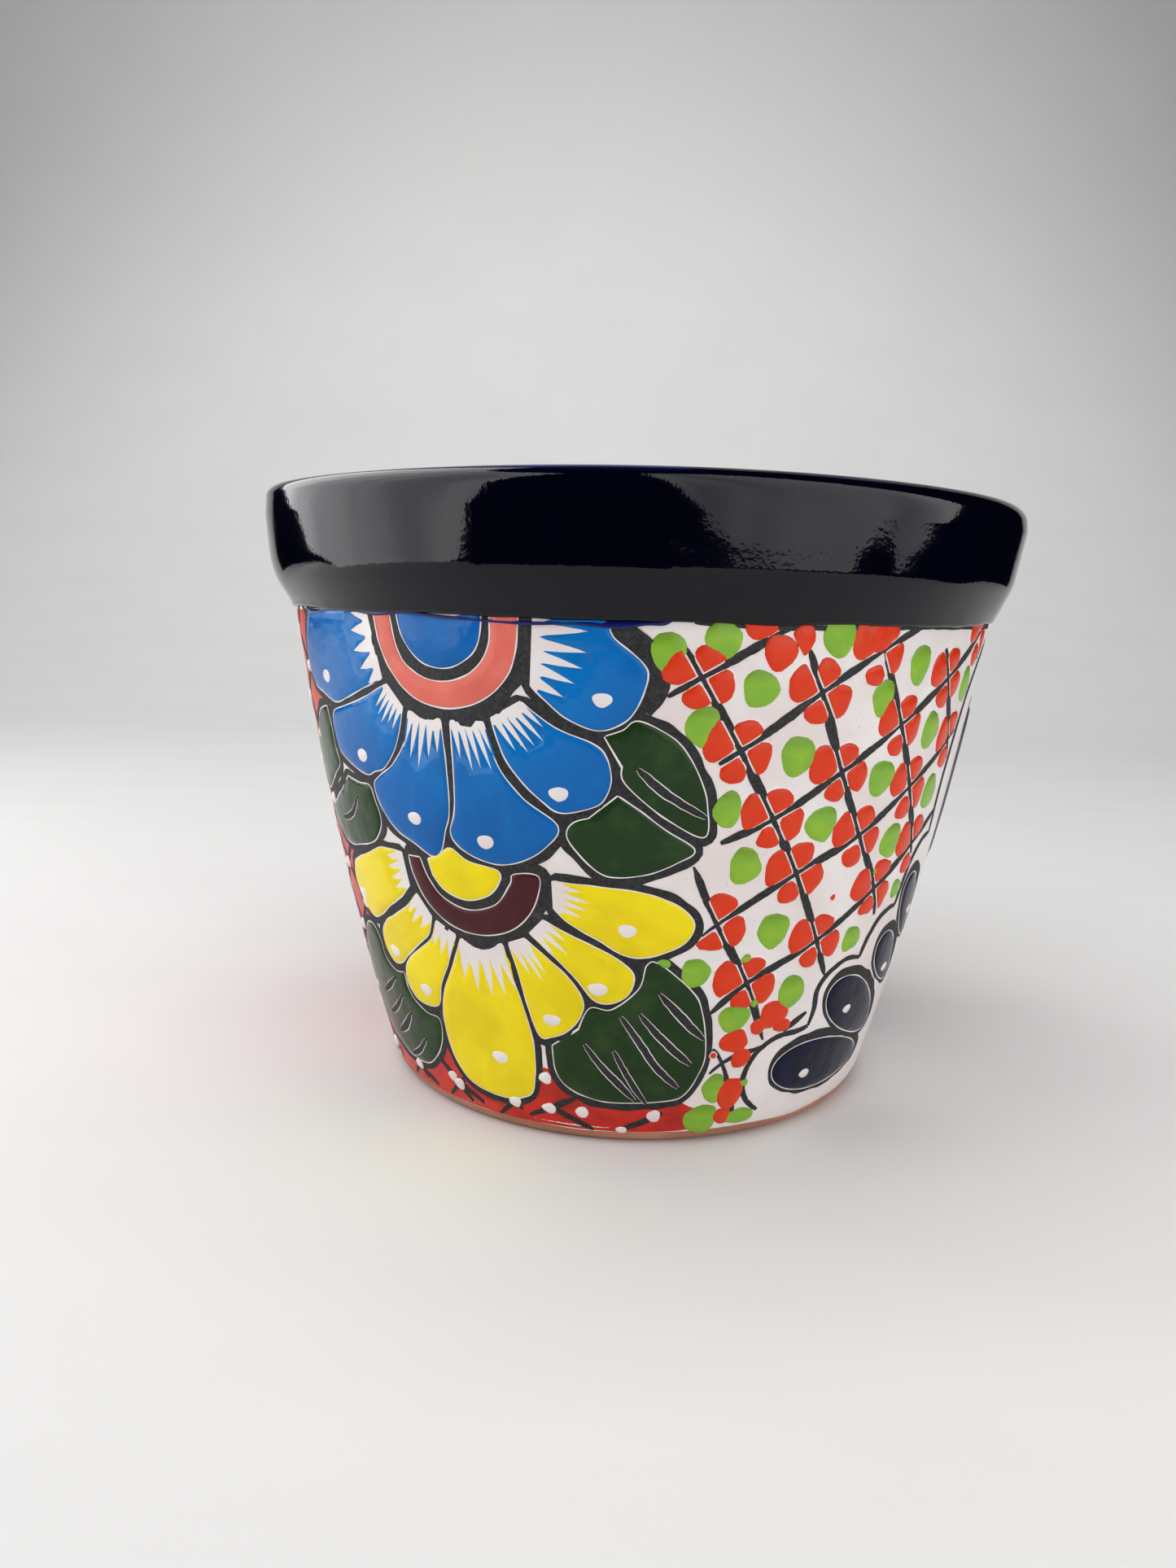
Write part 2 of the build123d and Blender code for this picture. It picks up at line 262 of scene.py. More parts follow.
class Drawing:
    """A flat mesh in the making: points (along, up, rise) with a UV each, and faces that point outwards."""

    def __init__(self):
        self.points, self.faces, self.uvs = [], [], []

    def fill(self, line, rise, spacing, rows=(), top=None, uv=None, sink=0.25 * MM):
        """Adds a closed solid sheet over an outline. rise gives the height at each distance from the edge."""
        line = anticlockwise(line)
        if top is not None:
            line = cut_off(line, top)
        if len(line) < 3:
            return
        candidates = []
        normals = side_normals(line)
        for row in rows:
            moved = line + normals * row
            candidates.append(moved[(edge_distance(moved, line) > row * 0.93) & inside(moved, line)])
        low, high = line.min(0), line.max(0)
        across = np.arange(low[0], high[0], spacing)
        up = np.arange(low[1], high[1], spacing * 0.866)
        grid = np.array([(x + (k % 2) * spacing / 2, y) for k, y in enumerate(up) for x in across]).reshape(-1, 2)
        clear = (rows[-1] if rows else 0.0) + spacing * 0.55
        if len(grid):
            grid = grid[inside(grid, line)]
        if len(grid):
            candidates.append(grid[edge_distance(grid, line) > clear])
        inner = np.concatenate(candidates) if candidates else np.zeros((0, 2))
        points = [Vector(p) for p in line] + [Vector(p) for p in inner]
        verts, _, triangles, *_ = delaunay_2d_cdt(points, [], [list(range(len(line)))], 1, 1e-7)
        flat = np.array([(v.x, v.y) for v in verts])
        heights = rise(edge_distance(flat, line), flat)
        first, count = len(self.points), len(flat)
        self.points += [(x, y, z) for (x, y), z in zip(flat, heights)]
        self.points += [(x, y, -sink) for x, y in flat]
        spots = flat if uv is None else uv(flat)
        self.uvs += [tuple(spot) for spot in spots] * 2
        used = {}
        for a, b, c in triangles:
            self.faces.append((first + a, first + b, first + c))
            self.faces.append((first + count + c, first + count + b, first + count + a))
            for edge in ((a, b), (b, c), (c, a)):
                used[edge] = used.get(edge, 0) + 1
        for a, b in used:
            if (b, a) not in used:
                self.faces.append((first + a, first + count + a, first + count + b, first + b))

    def mesh(self, name):
        """The drawing as a mesh object, still flat."""
        data = bpy.data.meshes.new(name)
        data.from_pydata(self.points, [], self.faces)
        layer = data.uv_layers.new(name="stroke")
        loops = np.zeros(len(data.loops), dtype=np.int32)
        data.loops.foreach_get("vertex_index", loops)
        layer.data.foreach_set("uv", np.array(self.uvs)[loops].ravel())
        data.validate()
        return new_object(name, data)


def new_object(name, data):
    """An object at the origin, linked to the scene."""
    piece = bpy.data.objects.new(name, data)
    bpy.context.scene.collection.objects.link(piece)
    return piece


def level(height):
    """A rise that is the same all over, for brushed lines and bare halos."""
    return lambda distance, flat: np.full(len(distance), height)


def pillow(base, height, shoulder, swell=0.05 * MM):
    """A rise that rounds over from its edge, with the slow swells of a glaze that ran while it was hot."""

    def rise(distance, flat):
        waves = np.array([noise.noise(Vector((x / 0.009, y / 0.009, 1.0))) for x, y in flat])
        body = 1 - np.exp(-distance / shoulder)
        return base + (height - base) * body + waves * swell * body

    return rise


def stroke(points, width, seed, taper=0.5, rough=0.16, thin_at=None):
    """The outline of a brush stroke along a flat line, swelling and thinning, with narrowed ends. It thins where it
    passes the points of thin_at."""
    line = smooth_line(points, 0.8 * MM)
    if len(line) < 3:
        return None
    normals = side_normals(line, closed=False)
    steps = np.linalg.norm(np.diff(line, axis=0), axis=1)
    along = np.concatenate([[0], np.cumsum(steps)])
    ends = np.minimum(along, along[-1] - along)
    body = taper + (1 - taper) * (1 - np.exp(-ends / (width * 1.2)))
    slow = ragged(line, 0.30, 12 * MM, seed)
    half = width / 2 * body * (1 + slow)
    if thin_at is not None:
        near = np.linalg.norm(line[:, None] - thin_at[None], axis=-1).min(1)
        half *= 0.62 + 0.55 * np.clip((near - 1.5 * MM) / (5.0 * MM), 0, 1)
    left = line + normals * (half + ragged(line, rough * MM, 1.1 * MM, seed + 1))[:, None]
    right = line - normals * (half + ragged(line, rough * MM, 1.1 * MM, seed + 2))[:, None]
    return np.concatenate([left, right[::-1]])


# Pattern of the front, as (degrees round the wall, millimetres up it) ------------------------------------------------

BLUE_CENTRE = (-27.3, 123)
BLUE_DISC = [(-34.3, 130), (-33.6, 121), (-31, 115.6), (-27.3, 113.8), (-23.6, 115.4), (-21, 120), (-20.3, 130)]
# Each petal runs from its flower's ring round its tip and back to the ring; then come its white dot, and the
# number, bare length and depth of the white spikes that the brush left at its root
BLUE_PETALS = [
    ([(-40.3, 129), (-50, 129), (-57.5, 125.5), (-61.8, 119.5), (-63.8, 113), (-62, 106.8), (-57.5, 104.8),
      (-52.3, 103.3), (-45.5, 106.5), (-38.6, 110.4)], (-54.4, 109), 6, 1.6, 8.0),
    ([(-37.6, 109.2), (-44.5, 104.8), (-50, 102.4), (-54.3, 100.4), (-55.2, 96), (-54.2, 91.3), (-51, 88.9),
      (-46, 87), (-43.5, 88.2), (-40.6, 89.8), (-37.2, 95.6), (-34.8, 104.4)], (-46, 91.4), 5, 1.8, 9.5),
    ([(-33.7, 103.6), (-35.2, 96.5), (-38.6, 90.6), (-42.5, 87), (-44.2, 84.5), (-43, 79.5), (-40, 75),
      (-36, 72.6), (-32.6, 70.4), (-30.6, 72), (-29.3, 77), (-28.1, 82), (-27.8, 92), (-28, 102.8)],
     (-35, 78.8), 5, 2.0, 12.0),
    ([(-26.2, 102.8), (-26.4, 92), (-27, 82), (-28.2, 77), (-27, 74), (-24, 71.8), (-20, 70.9), (-16, 72.5),
      (-12.5, 76), (-10.6, 81), (-15.6, 86.6), (-19.2, 93.5), (-21, 102.8)], (-22, 75.8), 5, 1.8, 12.0),
    ([(-19.7, 103.8), (-18.1, 96), (-15.5, 90.4), (-12.6, 86.4), (-10, 84.2), (-6, 85.5), (-4, 87.5), (-3, 92),
      (-3.8, 97), (-5.7, 99.6), (-10.7, 102.6), (-15.3, 107.6)], (-10.2, 88.4), 5, 1.6, 10.5),
    ([(-13.7, 111.2), (-11.8, 108.3), (-9, 104.8), (-5, 102.5), (-2, 103.9), (0, 107), (1.4, 113.5), (0.5, 117),
      (-3, 121.5), (-4.2, 125.5), (-8, 129), (-13.7, 129)], (-4.3, 108.8), 7, 1.4, 10.5),
]
YELLOW_CENTRE = (-26.3, 71)
YELLOW_DISC = [(-33.6, 69.3), (-31, 71), (-28.7, 72.9), (-25.8, 70.6), (-20.5, 69.2), (-20.7, 66), (-22.8, 62.8),
               (-26.8, 61), (-30.8, 62.4), (-33, 65.6)]
YELLOW_PETALS = [
    ([(-11.6, 61.7), (-9, 58.4), (-4.6, 55), (-0.5, 51.6), (3, 51.2), (7, 53), (9.5, 55.5), (10.3, 59),
      (8.6, 62.5), (5, 65.3), (0, 67), (-11.6, 68.2)], (0, 57.5), 4, 2.2, 9.0),
    ([(-15.8, 55), (-12.3, 50.6), (-8.2, 44.8), (-5.3, 39.8), (-2.5, 39.2), (0, 41), (1.1, 44), (0.9, 47.2),
      (-1.8, 50.6), (-5.8, 53.4), (-9.6, 55.8), (-13.4, 58.6)], (-4.5, 42.7), 3, 2.6, 9.0),
    ([(-19.6, 51.8), (-18.4, 45), (-17.2, 37), (-15.4, 28.8), (-13, 28.8), (-10, 31), (-7.7, 35), (-7.2, 39),
      (-8.9, 43.6), (-12.2, 48.2), (-16.8, 53.4)], (-12.8, 33.4), 3, 3.0, 12.0),
    ([(-28.8, 51.3), (-31.5, 43.5), (-35.3, 34.5), (-36.8, 26.5), (-36, 17.5), (-33.2, 11.8), (-29, 9.6),
      (-24, 9.1), (-20, 10.4), (-17.6, 13.4), (-16.7, 24), (-17.8, 34), (-19.6, 43), (-20.9, 51.2)],
     (-23.9, 20.6), 5, 5.0, 15.0),
    ([(-34, 53.7), (-36, 48.5), (-40, 44.3), (-43.4, 41), (-45.6, 37.5), (-46.2, 33.6), (-44.6, 30.2),
      (-41.4, 29.2), (-37.6, 30.4), (-35.8, 36.5), (-32.8, 43.5), (-30, 51.6)], (-40, 33.7), 3, 3.0, 9.0),
    ([(-37.7, 59.6), (-41, 55.4), (-45, 52), (-49.4, 48.6), (-51.8, 45), (-52, 40.6), (-49.8, 37.8),
      (-46.8, 38.6), (-44, 41.6), (-40, 45.8), (-36.6, 49.6), (-35, 54.6)], (-48, 41.2), 3, 2.6, 8.5),
    ([(-39.8, 69.4), (-45.4, 69), (-50, 66.4), (-55, 63.8), (-58.8, 61), (-60.2, 56.4), (-58.4, 50.8),
      (-54.4, 48.4), (-50.8, 50), (-47, 53.4), (-42.4, 57.4), (-39.3, 61.2)], (-57, 53.6), 4, 2.2, 8.0),
]
LEAVES = [
    [(-3.9, 101.2), (-1.5, 102.6), (0.5, 104.6), (5, 101.4), (7.6, 97), (9.5, 91.5), (10.5, 86.5), (10.4, 79.8),
     (4, 84.8), (-1, 91.4), (-1.4, 95)],
    [(-2, 88.4), (1, 85.4), (5, 81), (9.2, 76.8), (7, 74), (3, 71.3), (-1.5, 70.2), (-4.7, 71.3), (-8.3, 76.6),
     (-9.2, 79.6), (-8.2, 82), (-6, 83.2)],
    [(-13, 26.4), (-12.7, 20), (-11, 16), (-7, 13.3), (-2, 12.2), (8, 12.9), (11.7, 14.5), (14, 20), (14.8, 26),
     (13.2, 37), (11, 42.5), (5.5, 49.2), (3.4, 49.2), (2.2, 43), (-2.2, 37.4), (-6, 37.4), (-8, 31.5)],
    [(-57.3, 101.4), (-62, 99.5), (-66, 94), (-68, 86), (-67.5, 79), (-63, 81), (-59, 84.4), (-55.8, 87.4),
     (-56.5, 92), (-56.6, 97)],
    [(-52.8, 84.9), (-49, 84.2), (-45.8, 84.2), (-44.9, 81), (-44, 76.4), (-45.4, 72.6), (-48, 69.8), (-53, 67.8),
     (-58, 66.6), (-63, 68.3), (-66.3, 73.5), (-62, 76.8), (-57, 80.6)],
    [(-47, 35.6), (-50.5, 35), (-53.8, 37.5), (-54.4, 42), (-56.6, 45.2), (-60.5, 44), (-64.5, 38), (-67, 30),
     (-66.5, 20), (-62.5, 13.5), (-57, 10.6), (-50, 9.8), (-45, 11.2), (-41, 15.7), (-38.8, 20.5), (-38.3, 26),
     (-42, 26.6), (-45.5, 28.9), (-47, 32)],
]
VEINS = [
    [(0.6, 94.6), (4, 90), (8, 86.2), (10.4, 84.2)],
    [(-7, 28), (-4.4, 23), (-1, 18), (2.4, 13.2)],
    [(-1.8, 26.8), (0.4, 21), (2.6, 16), (4.6, 12.4)],
    [(-0.7, 36), (2, 30.6), (6, 22.6), (10.4, 16.8)],
    [(2.5, 36.8), (5.4, 32), (9, 27), (12.2, 23.2)],
    [(5.6, 42.2), (9, 37), (12, 32.6), (14.2, 30)],
    [(-50, 80.4), (-52.4, 76.4), (-55.4, 74.2), (-58, 73.4)],
    [(-51, 32.6), (-54, 29.6), (-58, 26.4)],
    [(-49.5, 28.2), (-53.4, 23.6), (-57.6, 20.4)],
    [(-47.6, 24), (-51, 19.4), (-55.4, 15.8)],
    [(-44, 18.2), (-47.6, 13.6), (-51.6, 11)],
]
CORAL_RING = [(-38.8, 131), (-38.2, 119), (-35.8, 111.5), (-32, 106.8), (-27, 105.3), (-22, 106.8), (-18, 111.2),
              (-15.9, 118), (-15.5, 131), (-18.9, 131), (-19.4, 119.5), (-22.3, 113.2), (-27, 110.8),
              (-31.8, 112.4), (-34.8, 117.8), (-35.9, 131)]
MAROON_RING = [(-38, 69), (-37.5, 64.5), (-35.6, 59), (-32.4, 55), (-28, 52.9), (-23.5, 53), (-19, 55.2),
               (-15.8, 59.4), (-14.1, 64.5), (-13.9, 69), (-17.8, 68.8), (-18.4, 66.4), (-21.4, 60.8),
               (-26.8, 58.4), (-31.6, 60.4), (-34.2, 64.4), (-35.5, 69.2)]
# The fan's petals: middle, tilt from level, half length, half width (millimetres), and the white dot
FAN_PETALS = [
    ((44, 16.8), -8, 17.5, 6.8, (38.5, 15.4)),
    ((50, 30.2), -33, 15.5, 6.2, (46.4, 31)),
    ((57.6, 41.4), -46, 9.8, 4.6, (58.0, 38.6)),
    ((61.6, 54.5), -62, 10.0, 4.6, (62.4, 53)),
    ((75, 84.0), -86, 20.0, 5.6, (75, 94)),
]
SCALLOPS = [
    [(28.4, 7.6), (25, 11.5), (23.5, 17.5), (25, 24), (29, 28), (34, 28.6), (36.2, 29.4)],
    [(36.2, 29.4), (36.6, 34), (36.2, 39), (38, 43), (42, 45.8), (46, 45.2)],
    [(46, 45.2), (46.9, 50), (49, 54.4), (52, 56.4), (54.2, 56.6)],
    [(54.2, 56.6), (54.8, 62), (56.2, 68), (59, 72.4), (62.6, 73.6)],
    [(62.6, 73.6), (61.4, 84), (61.8, 97), (64, 109), (70, 118.5), (80, 121.5)],
]
# The dark line under the collar, a brushed black line that also stands for painted shadow under the collar's edge, and
# the broad one round the right-hand upper petal
COLLAR_LINE_AND_SHADOW = [(7, 125.1), (14, 124.6), (24, 124.5), (34, 124.8), (48, 125.0), (62, 124.8), (80, 125.0)]
PETAL_ARC = [(-3.2, 126.6), (-1.2, 123.4), (1.6, 119.8), (3.3, 115.0), (3.2, 110.5), (1.6, 106.4)]
# The white field under the lattice, and the red ground beyond the leaves and along the foot
LATTICE_FIELD = [(-4, 131), (1, 121), (4, 117), (4, 108), (9, 102), (11.5, 95), (12.6, 86), (12.6, 78), (8.6, 72.4),
                 (9.4, 68), (12, 62), (11.6, 55), (8.6, 51), (11, 45), (14, 37), (16.2, 27), (15.8, 18), (14, 12),
                 (15, 5), (25, 5), (23.2, 16), (25, 25), (29.6, 29.4), (36, 30), (35.6, 38), (38, 44.6), (45.6, 46),
                 (47, 54), (54, 57.6), (55.4, 68), (58, 72.8), (62, 75), (60.8, 97), (64, 112), (70, 121), (80, 124),
                 (80, 131)]
RED_GROUND = [(-100, 131), (-57, 131), (-60.5, 120), (-60.5, 108), (-58, 103), (-60.5, 96), (-62, 80), (-59, 69),
              (-56, 64), (-56, 53), (-54.5, 45.6), (-60, 42), (-62, 30), (-60, 18), (-54, 12), (-47, 12),
              (-42, 16), (-38.2, 18.6), (-35.4, 16), (-30, 11.4), (-24, 11), (-19, 13), (-16, 19), (-14, 19.5),
              (-11, 15), (-4, 13.6), (8, 13.8), (13.5, 10.8), (15.7, 9.6), (15.9, 6.4), (12, 4), (-20, 3.6), (-60, 4),
              (-100, 4)]
LATTICE_START = (8.4, 114)
LATTICE_DOWN = (6.15, -15.3)  # from one crossing to the next down a steep line
LATTICE_UP = (10.5, 9.9)  # and to the next up a rising line
STEEP_TOP = 120.0  # the steep lines start at this height, just short of the collar
LATTICE_STRAYS = {(1, 1): (0.5, 2.4), (1, 2): (-1, 1.1), (4, 1): (1, 0.7), (3, -1): (-2.4, 0.8), (4, -1): (-1.9, 0.9),
                  (3, 0): (-0.7, 2.2), (5, -1): (-2, -1), (5, -2): (0.3, 5), (2, -1): (-1.5, 1.5)}


def crossing(down, up):
    """Where two lattice lines cross, in degrees and millimetres."""
    stray = LATTICE_STRAYS.get((down, up), (0, 0))
    return (
        LATTICE_START[0] + down * LATTICE_DOWN[0] + up * LATTICE_UP[0] + stray[0],
        LATTICE_START[1] + down * LATTICE_DOWN[1] + up * LATTICE_UP[1] + stray[1],
    )


# Dabs round a crossing: offset, width and height in millimetres, and the turn of the dab's blunt end in degrees
CROSSING_DABS = [
    ((-4.6, 1.7), 7.4, 8.8, 165),
    ((0.9, 4.0), 6.6, 6.2, 80),
    ((4.2, -1.4), 6.4, 7.4, -15),
    ((-0.8, -4.4), 6.0, 5.4, -100),
]
# Dabs that the brush set down outside the rule: degrees, millimetres, width, height, turn
STRAY_ORANGE = [(27.2, 34.4, 8.2, 8.0, 60), (24.6, 31.8, 4.6, 4.4, 200), (29.6, 31, 5.4, 3.4, 20), (20.2, 28.6, 7.6, 6.6, 250),
                (22, 23.8, 5.6, 5.4, -60), (21, 14, 7.4, 9.4, -20), (20.4, 7.6, 5, 5, 240),
                (18.6, 119.6, 8.0, 8.0, -40), (16.4, 124.2, 4.4, 4.2, 80), (21.2, 123.2, 2.6, 3.6, 60),
                (34.4, 63.2, 1.6, 1.6, 0), (16.4, 25.1, 1.6, 1.6, 0), (33.8, 123, 8.0, 8.4, 150)]
STRAY_LIME = [(19.4, 34.6, 8.0, 8.0, 90), (17.6, 15.6, 5.4, 8.6, 110), (24, 6.6, 9.4, 4.4, 0), (22.8, 38.4, 2, 2, 0),
              (23.9, 16.6, 2.2, 2.2, 0), (43.6, 68, 2, 1.8, 0), (19.7, 50.2, 2.4, 2, 0), (36.6, 109.4, 6.8, 8.8, 100), (10.7, 121.4, 8.0, 9.2, 60),
              (11.2, 47.2, 7.2, 7.6, -50), (3.9, 118.8, 7.6, 8.8, 80), (9.2, 103.5, 7.8, 9.2, 110), (6, 49.6, 3.4, 2.2, 0),
              (13.6, 85.6, 6.6, 8.6, 120), (41.6, 51, 6.6, 7.2, 60), (52.4, 61.4, 5.2, 5, 60)]
FOOT_STROKES = [[(-19, 5.4), (-14, 8.8), (-9, 12.4)], [(-14.6, 9.2), (-10, 6.4), (-5.6, 3.8)], [(0.4, 4.8), (4, 6.6), (8, 9.4)],
                [(-40, 13.4), (-36.4, 9.6), (-30, 5.4)], [(-44, 5), (-50, 8)]]
FOOT_DOTS = [(-38, 10, 3.6, 3.0, 0), (-14.7, 8.4, 3.8, 3.0, 0), (0, 4.2, 2.8, 2.0, 0)]


# Node trees --------------------------------------------------------------------------------------------------------


class Socket:
    """An output of a node, which can be reckoned with like a number."""

    def __init__(self, graph, output):
        self.graph, self.output = graph, output

    def __add__(self, other):
        return self.graph.math("ADD", self, other)

    def __radd__(self, other):
        return self.graph.math("ADD", other, self)

    def __sub__(self, other):
        return self.graph.math("SUBTRACT", self, other)

    def __rsub__(self, other):
        return self.graph.math("SUBTRACT", other, self)

    def __mul__(self, other):
        return self.graph.math("MULTIPLY", self, other)

    def __rmul__(self, other):
        return self.graph.math("MULTIPLY", other, self)

    def __truediv__(self, other):
        return self.graph.math("DIVIDE", self, other)

    def __rtruediv__(self, other):
        return self.graph.math("DIVIDE", other, self)

    def __pow__(self, other):
        return self.graph.math("POWER", self, other)

    def __neg__(self):
        return self.graph.math("MULTIPLY", self, -1.0)


class Outputs:
    """The outputs of a node, by name or number."""

    def __init__(self, graph, node):
        self.graph, self.node = graph, node

    def __getitem__(self, key):
        return Socket(self.graph, self.node.outputs[key])


class Graph:
    """A node tree in the making."""

    def __init__(self, tree):
        self.tree = tree
        tree.nodes.clear()

    def add(self, kind, settings=None, values=None):
        """Adds a node: its settings first, colour stops among them, and then what goes into its sockets."""
        node = self.tree.nodes.new(kind)
        for key, value in (settings or {}).items():
            if key == "stops":
                stops = node.color_ramp.elements
                while len(stops) < len(value):
                    stops.new(1.0)
                for stop, (place, tone) in zip(stops, value):
                    stop.position, stop.color = place, (*tone, 1.0)
            else:
                setattr(node, key, value)
        for key, value in (values or {}).items():
            if isinstance(value, Socket):
                self.tree.links.new(value.output, node.inputs[key])
            else:
                node.inputs[key].default_value = value
        return Outputs(self, node)

    def math(self, operation, *values):
        """One sum; operands may be sockets or numbers."""
        return self.add("ShaderNodeMath", {"operation": operation}, dict(enumerate(values)))[0]

    def vector(self, operation, *values):
        """One vector sum."""
        return self.add("ShaderNodeVectorMath", {"operation": operation}, dict(enumerate(values)))[0]

    def combine(self, x, y, z):
        """A vector from its three parts."""
        return self.add("ShaderNodeCombineXYZ", values={0: x, 1: y, 2: z})[0]

    def separate(self, value):
        """The three parts of a vector."""
        parts = self.add("ShaderNodeSeparateXYZ", values={0: value})
        return parts[0], parts[1], parts[2]

    def between(self, value, low, high, out_low=0.0, out_high=1.0):
        """The value's place between low and high, eased at both ends."""
        settings = {"interpolation_type": "SMOOTHSTEP"}
        return self.add("ShaderNodeMapRange", settings, {0: value, 1: low, 2: high, 3: out_low, 4: out_high})[0]

    def mix(self, factor, first, second, blend="MIX"):
        """Two colours mixed."""
        values = {0: factor, 6: first, 7: second}
        return self.add("ShaderNodeMix", {"data_type": "RGBA", "blend_type": blend}, values)[2]

    def noise(self, where, scale, detail=2.0, roughness=0.5, distortion=0.0, colour_out=False):
        """Noise at a place, from 0 to 1; scale is in cells per unit."""
        values = {"Vector": where, "Scale": scale, "Detail": detail, "Roughness": roughness, "Distortion": distortion}
        made = self.add("ShaderNodeTexNoise", {"noise_dimensions": "3D"}, values)
        return made["Color" if colour_out else "Fac"]


def new_tree(name, inputs):
    """A Geometry Nodes tree from a flat drawing to geometry, with its graph and its inputs."""
    tree = bpy.data.node_groups.new(name, "GeometryNodeTree")
    tree.interface.new_socket("Geometry", in_out="OUTPUT", socket_type="NodeSocketGeometry")
    tree.interface.new_socket("Flat drawing", in_out="INPUT", socket_type="NodeSocketGeometry")
    for label, kind in inputs:
        tree.interface.new_socket(label, in_out="INPUT", socket_type=f"NodeSocket{kind}")
    graph = Graph(tree)
    return tree, graph, graph.add("NodeGroupInput")


def finish_tree(graph, geometry, material):
    """Ends a tree: instances become real, and the finish is set."""
    real = graph.add("GeometryNodeRealizeInstances", values={0: geometry})[0]
    finished = graph.add("GeometryNodeSetMaterial", values={"Geometry": real, "Material": material})[0]
    graph.add("NodeGroupOutput", values={0: finished})


WALL_INPUTS = [
    ("Wall middle radius", "Float"), ("Bow radius", "Float"), ("Bow centre from axis", "Float"),
    ("Bow centre height", "Float"), ("Foot rounding", "Float"), ("Coat", "Float"), ("Unevenness", "Float"),
    ("Finish", "Material"),
]


def wrap_on_wall(graph, given, geometry):
    """Moves flat points (along, up, rise) to their places on the bowed wall."""
    along, up, rise = graph.separate(graph.add("GeometryNodeInputPosition")[0])
    turn = along / given["Wall middle radius"]
    swell = (
        graph.math("SINE", 2 * turn + 30 * up) * 0.5
        + graph.math("SINE", 3 * turn - 55 * up + 1.7) * 0.3
        + graph.math("SINE", 5 * turn + 110 * up + 4.0) * 0.2
    )
    out = given["Coat"] + rise + swell * given["Unevenness"]
    reach = given["Bow radius"] + out
    fall = up - given["Bow centre height"]
    round_over = graph.math("MAXIMUM", given["Foot rounding"] - up, 0.0)
    inset = given["Foot rounding"] - graph.math("SQRT", given["Foot rounding"] ** 2 - round_over**2)
    radius = given["Bow centre from axis"] + graph.math("SQRT", reach**2 - fall**2) - inset
    place = graph.combine(radius * graph.math("SINE", turn), -(radius * graph.math("COSINE", turn)), up)
    return graph.add("GeometryNodeSetPosition", values={"Geometry": geometry, "Position": place})[0]


def wrap_tree():
    """The tree that wraps a flat drawing on the wall."""
    tree, graph, given = new_tree("Wrap on the wall", WALL_INPUTS)
    finish_tree(graph, wrap_on_wall(graph, given, given["Flat drawing"]), given["Finish"])
    return tree


def dab_tree():
    """The tree that sets a dab of enamel on each point, uneven in outline, and wraps the dabs on the wall."""
    inputs = [("Segments", "Int"), ("Dab rise", "Float"), ("Grown by", "Float"), ("Raggedness", "Float")]
    tree, graph, given = new_tree("Dabs on the wall", inputs + WALL_INPUTS)
    blank = graph.add(
        "GeometryNodeMeshCone",
        {"fill_type": "NGON"},
        {"Vertices": given["Segments"], "Side Segments": 4, "Radius Top": 0.0, "Radius Bottom": 1.0, "Depth": 1.0},
    )["Mesh"]
    x, y, height = graph.separate(graph.add("GeometryNodeInputPosition")[0])
    arc = height * (math.pi / 2)
    ring = graph.math("COSINE", arc) ** 0.6 / graph.math("MAXIMUM", 1 - height, 0.001)
    blunt = 1 + x * ring * 0.26
    dome = graph.combine(x * ring, y * ring * blunt, graph.math("SINE", arc) - 0.25)
    blank = graph.add("GeometryNodeSetPosition", values={"Geometry": blank, "Position": dome})[0]
    centre = graph.add("GeometryNodeInputPosition")[0]
    points = graph.add(
        "GeometryNodeStoreNamedAttribute",
        {"data_type": "FLOAT_VECTOR", "domain": "POINT"},
        {"Geometry": given["Flat drawing"], "Name": "centre", "Value": centre},
    )[0]
    turn = graph.add("GeometryNodeInputNamedAttribute", {"data_type": "FLOAT"}, {"Name": "turn"})[0]
    spin = graph.combine(0.0, 0.0, turn)
    dabs = graph.add("GeometryNodeInstanceOnPoints", values={"Points": points, "Instance": blank, "Rotation": spin})[0]
    dabs = graph.add("GeometryNodeRealizeInstances", values={0: dabs})[0]
    middle = graph.add("GeometryNodeInputNamedAttribute", {"data_type": "FLOAT_VECTOR"}, {"Name": "centre"})[0]
    wide = graph.add("GeometryNodeInputNamedAttribute", {"data_type": "FLOAT"}, {"Name": "wide"})[0]
    tall = graph.add("GeometryNodeInputNamedAttribute", {"data_type": "FLOAT"}, {"Name": "tall"})[0]
    unit = graph.vector("SUBTRACT", graph.add("GeometryNodeInputPosition")[0], middle)
    size = graph.combine(wide / 2 + given["Grown by"], tall / 2 + given["Grown by"], given["Dab rise"])
    spread = graph.vector("MULTIPLY", unit, size)
    where = graph.vector("ADD", middle, spread)
    stray = graph.vector("SUBTRACT", graph.noise(where, 330.0, colour_out=True), (0.5, 0.5, 0.5))
    rag = graph.combine(given["Raggedness"], given["Raggedness"], 0.0)
    where = graph.vector("ADD", where, graph.vector("MULTIPLY", stray, rag))
    for label in ("clear_of_a", "clear_of_b"):
        line = graph.add("GeometryNodeInputNamedAttribute", {"data_type": "FLOAT_VECTOR"}, {"Name": label})[0]
        nx, ny, reach = graph.separate(line)
        px, py, _ = graph.separate(where)
        short = graph.math("MAXIMUM", reach - given["Grown by"] - (nx * px + ny * py), 0.0)
        where = graph.vector("ADD", where, graph.combine(nx * short, ny * short, 0.0))
    _, lift, _ = graph.separate(unit)
    dabs = graph.add(
        "GeometryNodeStoreNamedAttribute",
        {"data_type": "FLOAT", "domain": "POINT"},
        {"Geometry": dabs, "Name": "up_the_dab", "Value": lift * 0.5 + 0.5},
    )[0]
    dabs = graph.add("GeometryNodeSetPosition", values={"Geometry": dabs, "Position": where})[0]
    finish_tree(graph, wrap_on_wall(graph, given, dabs), given["Finish"])
    return tree


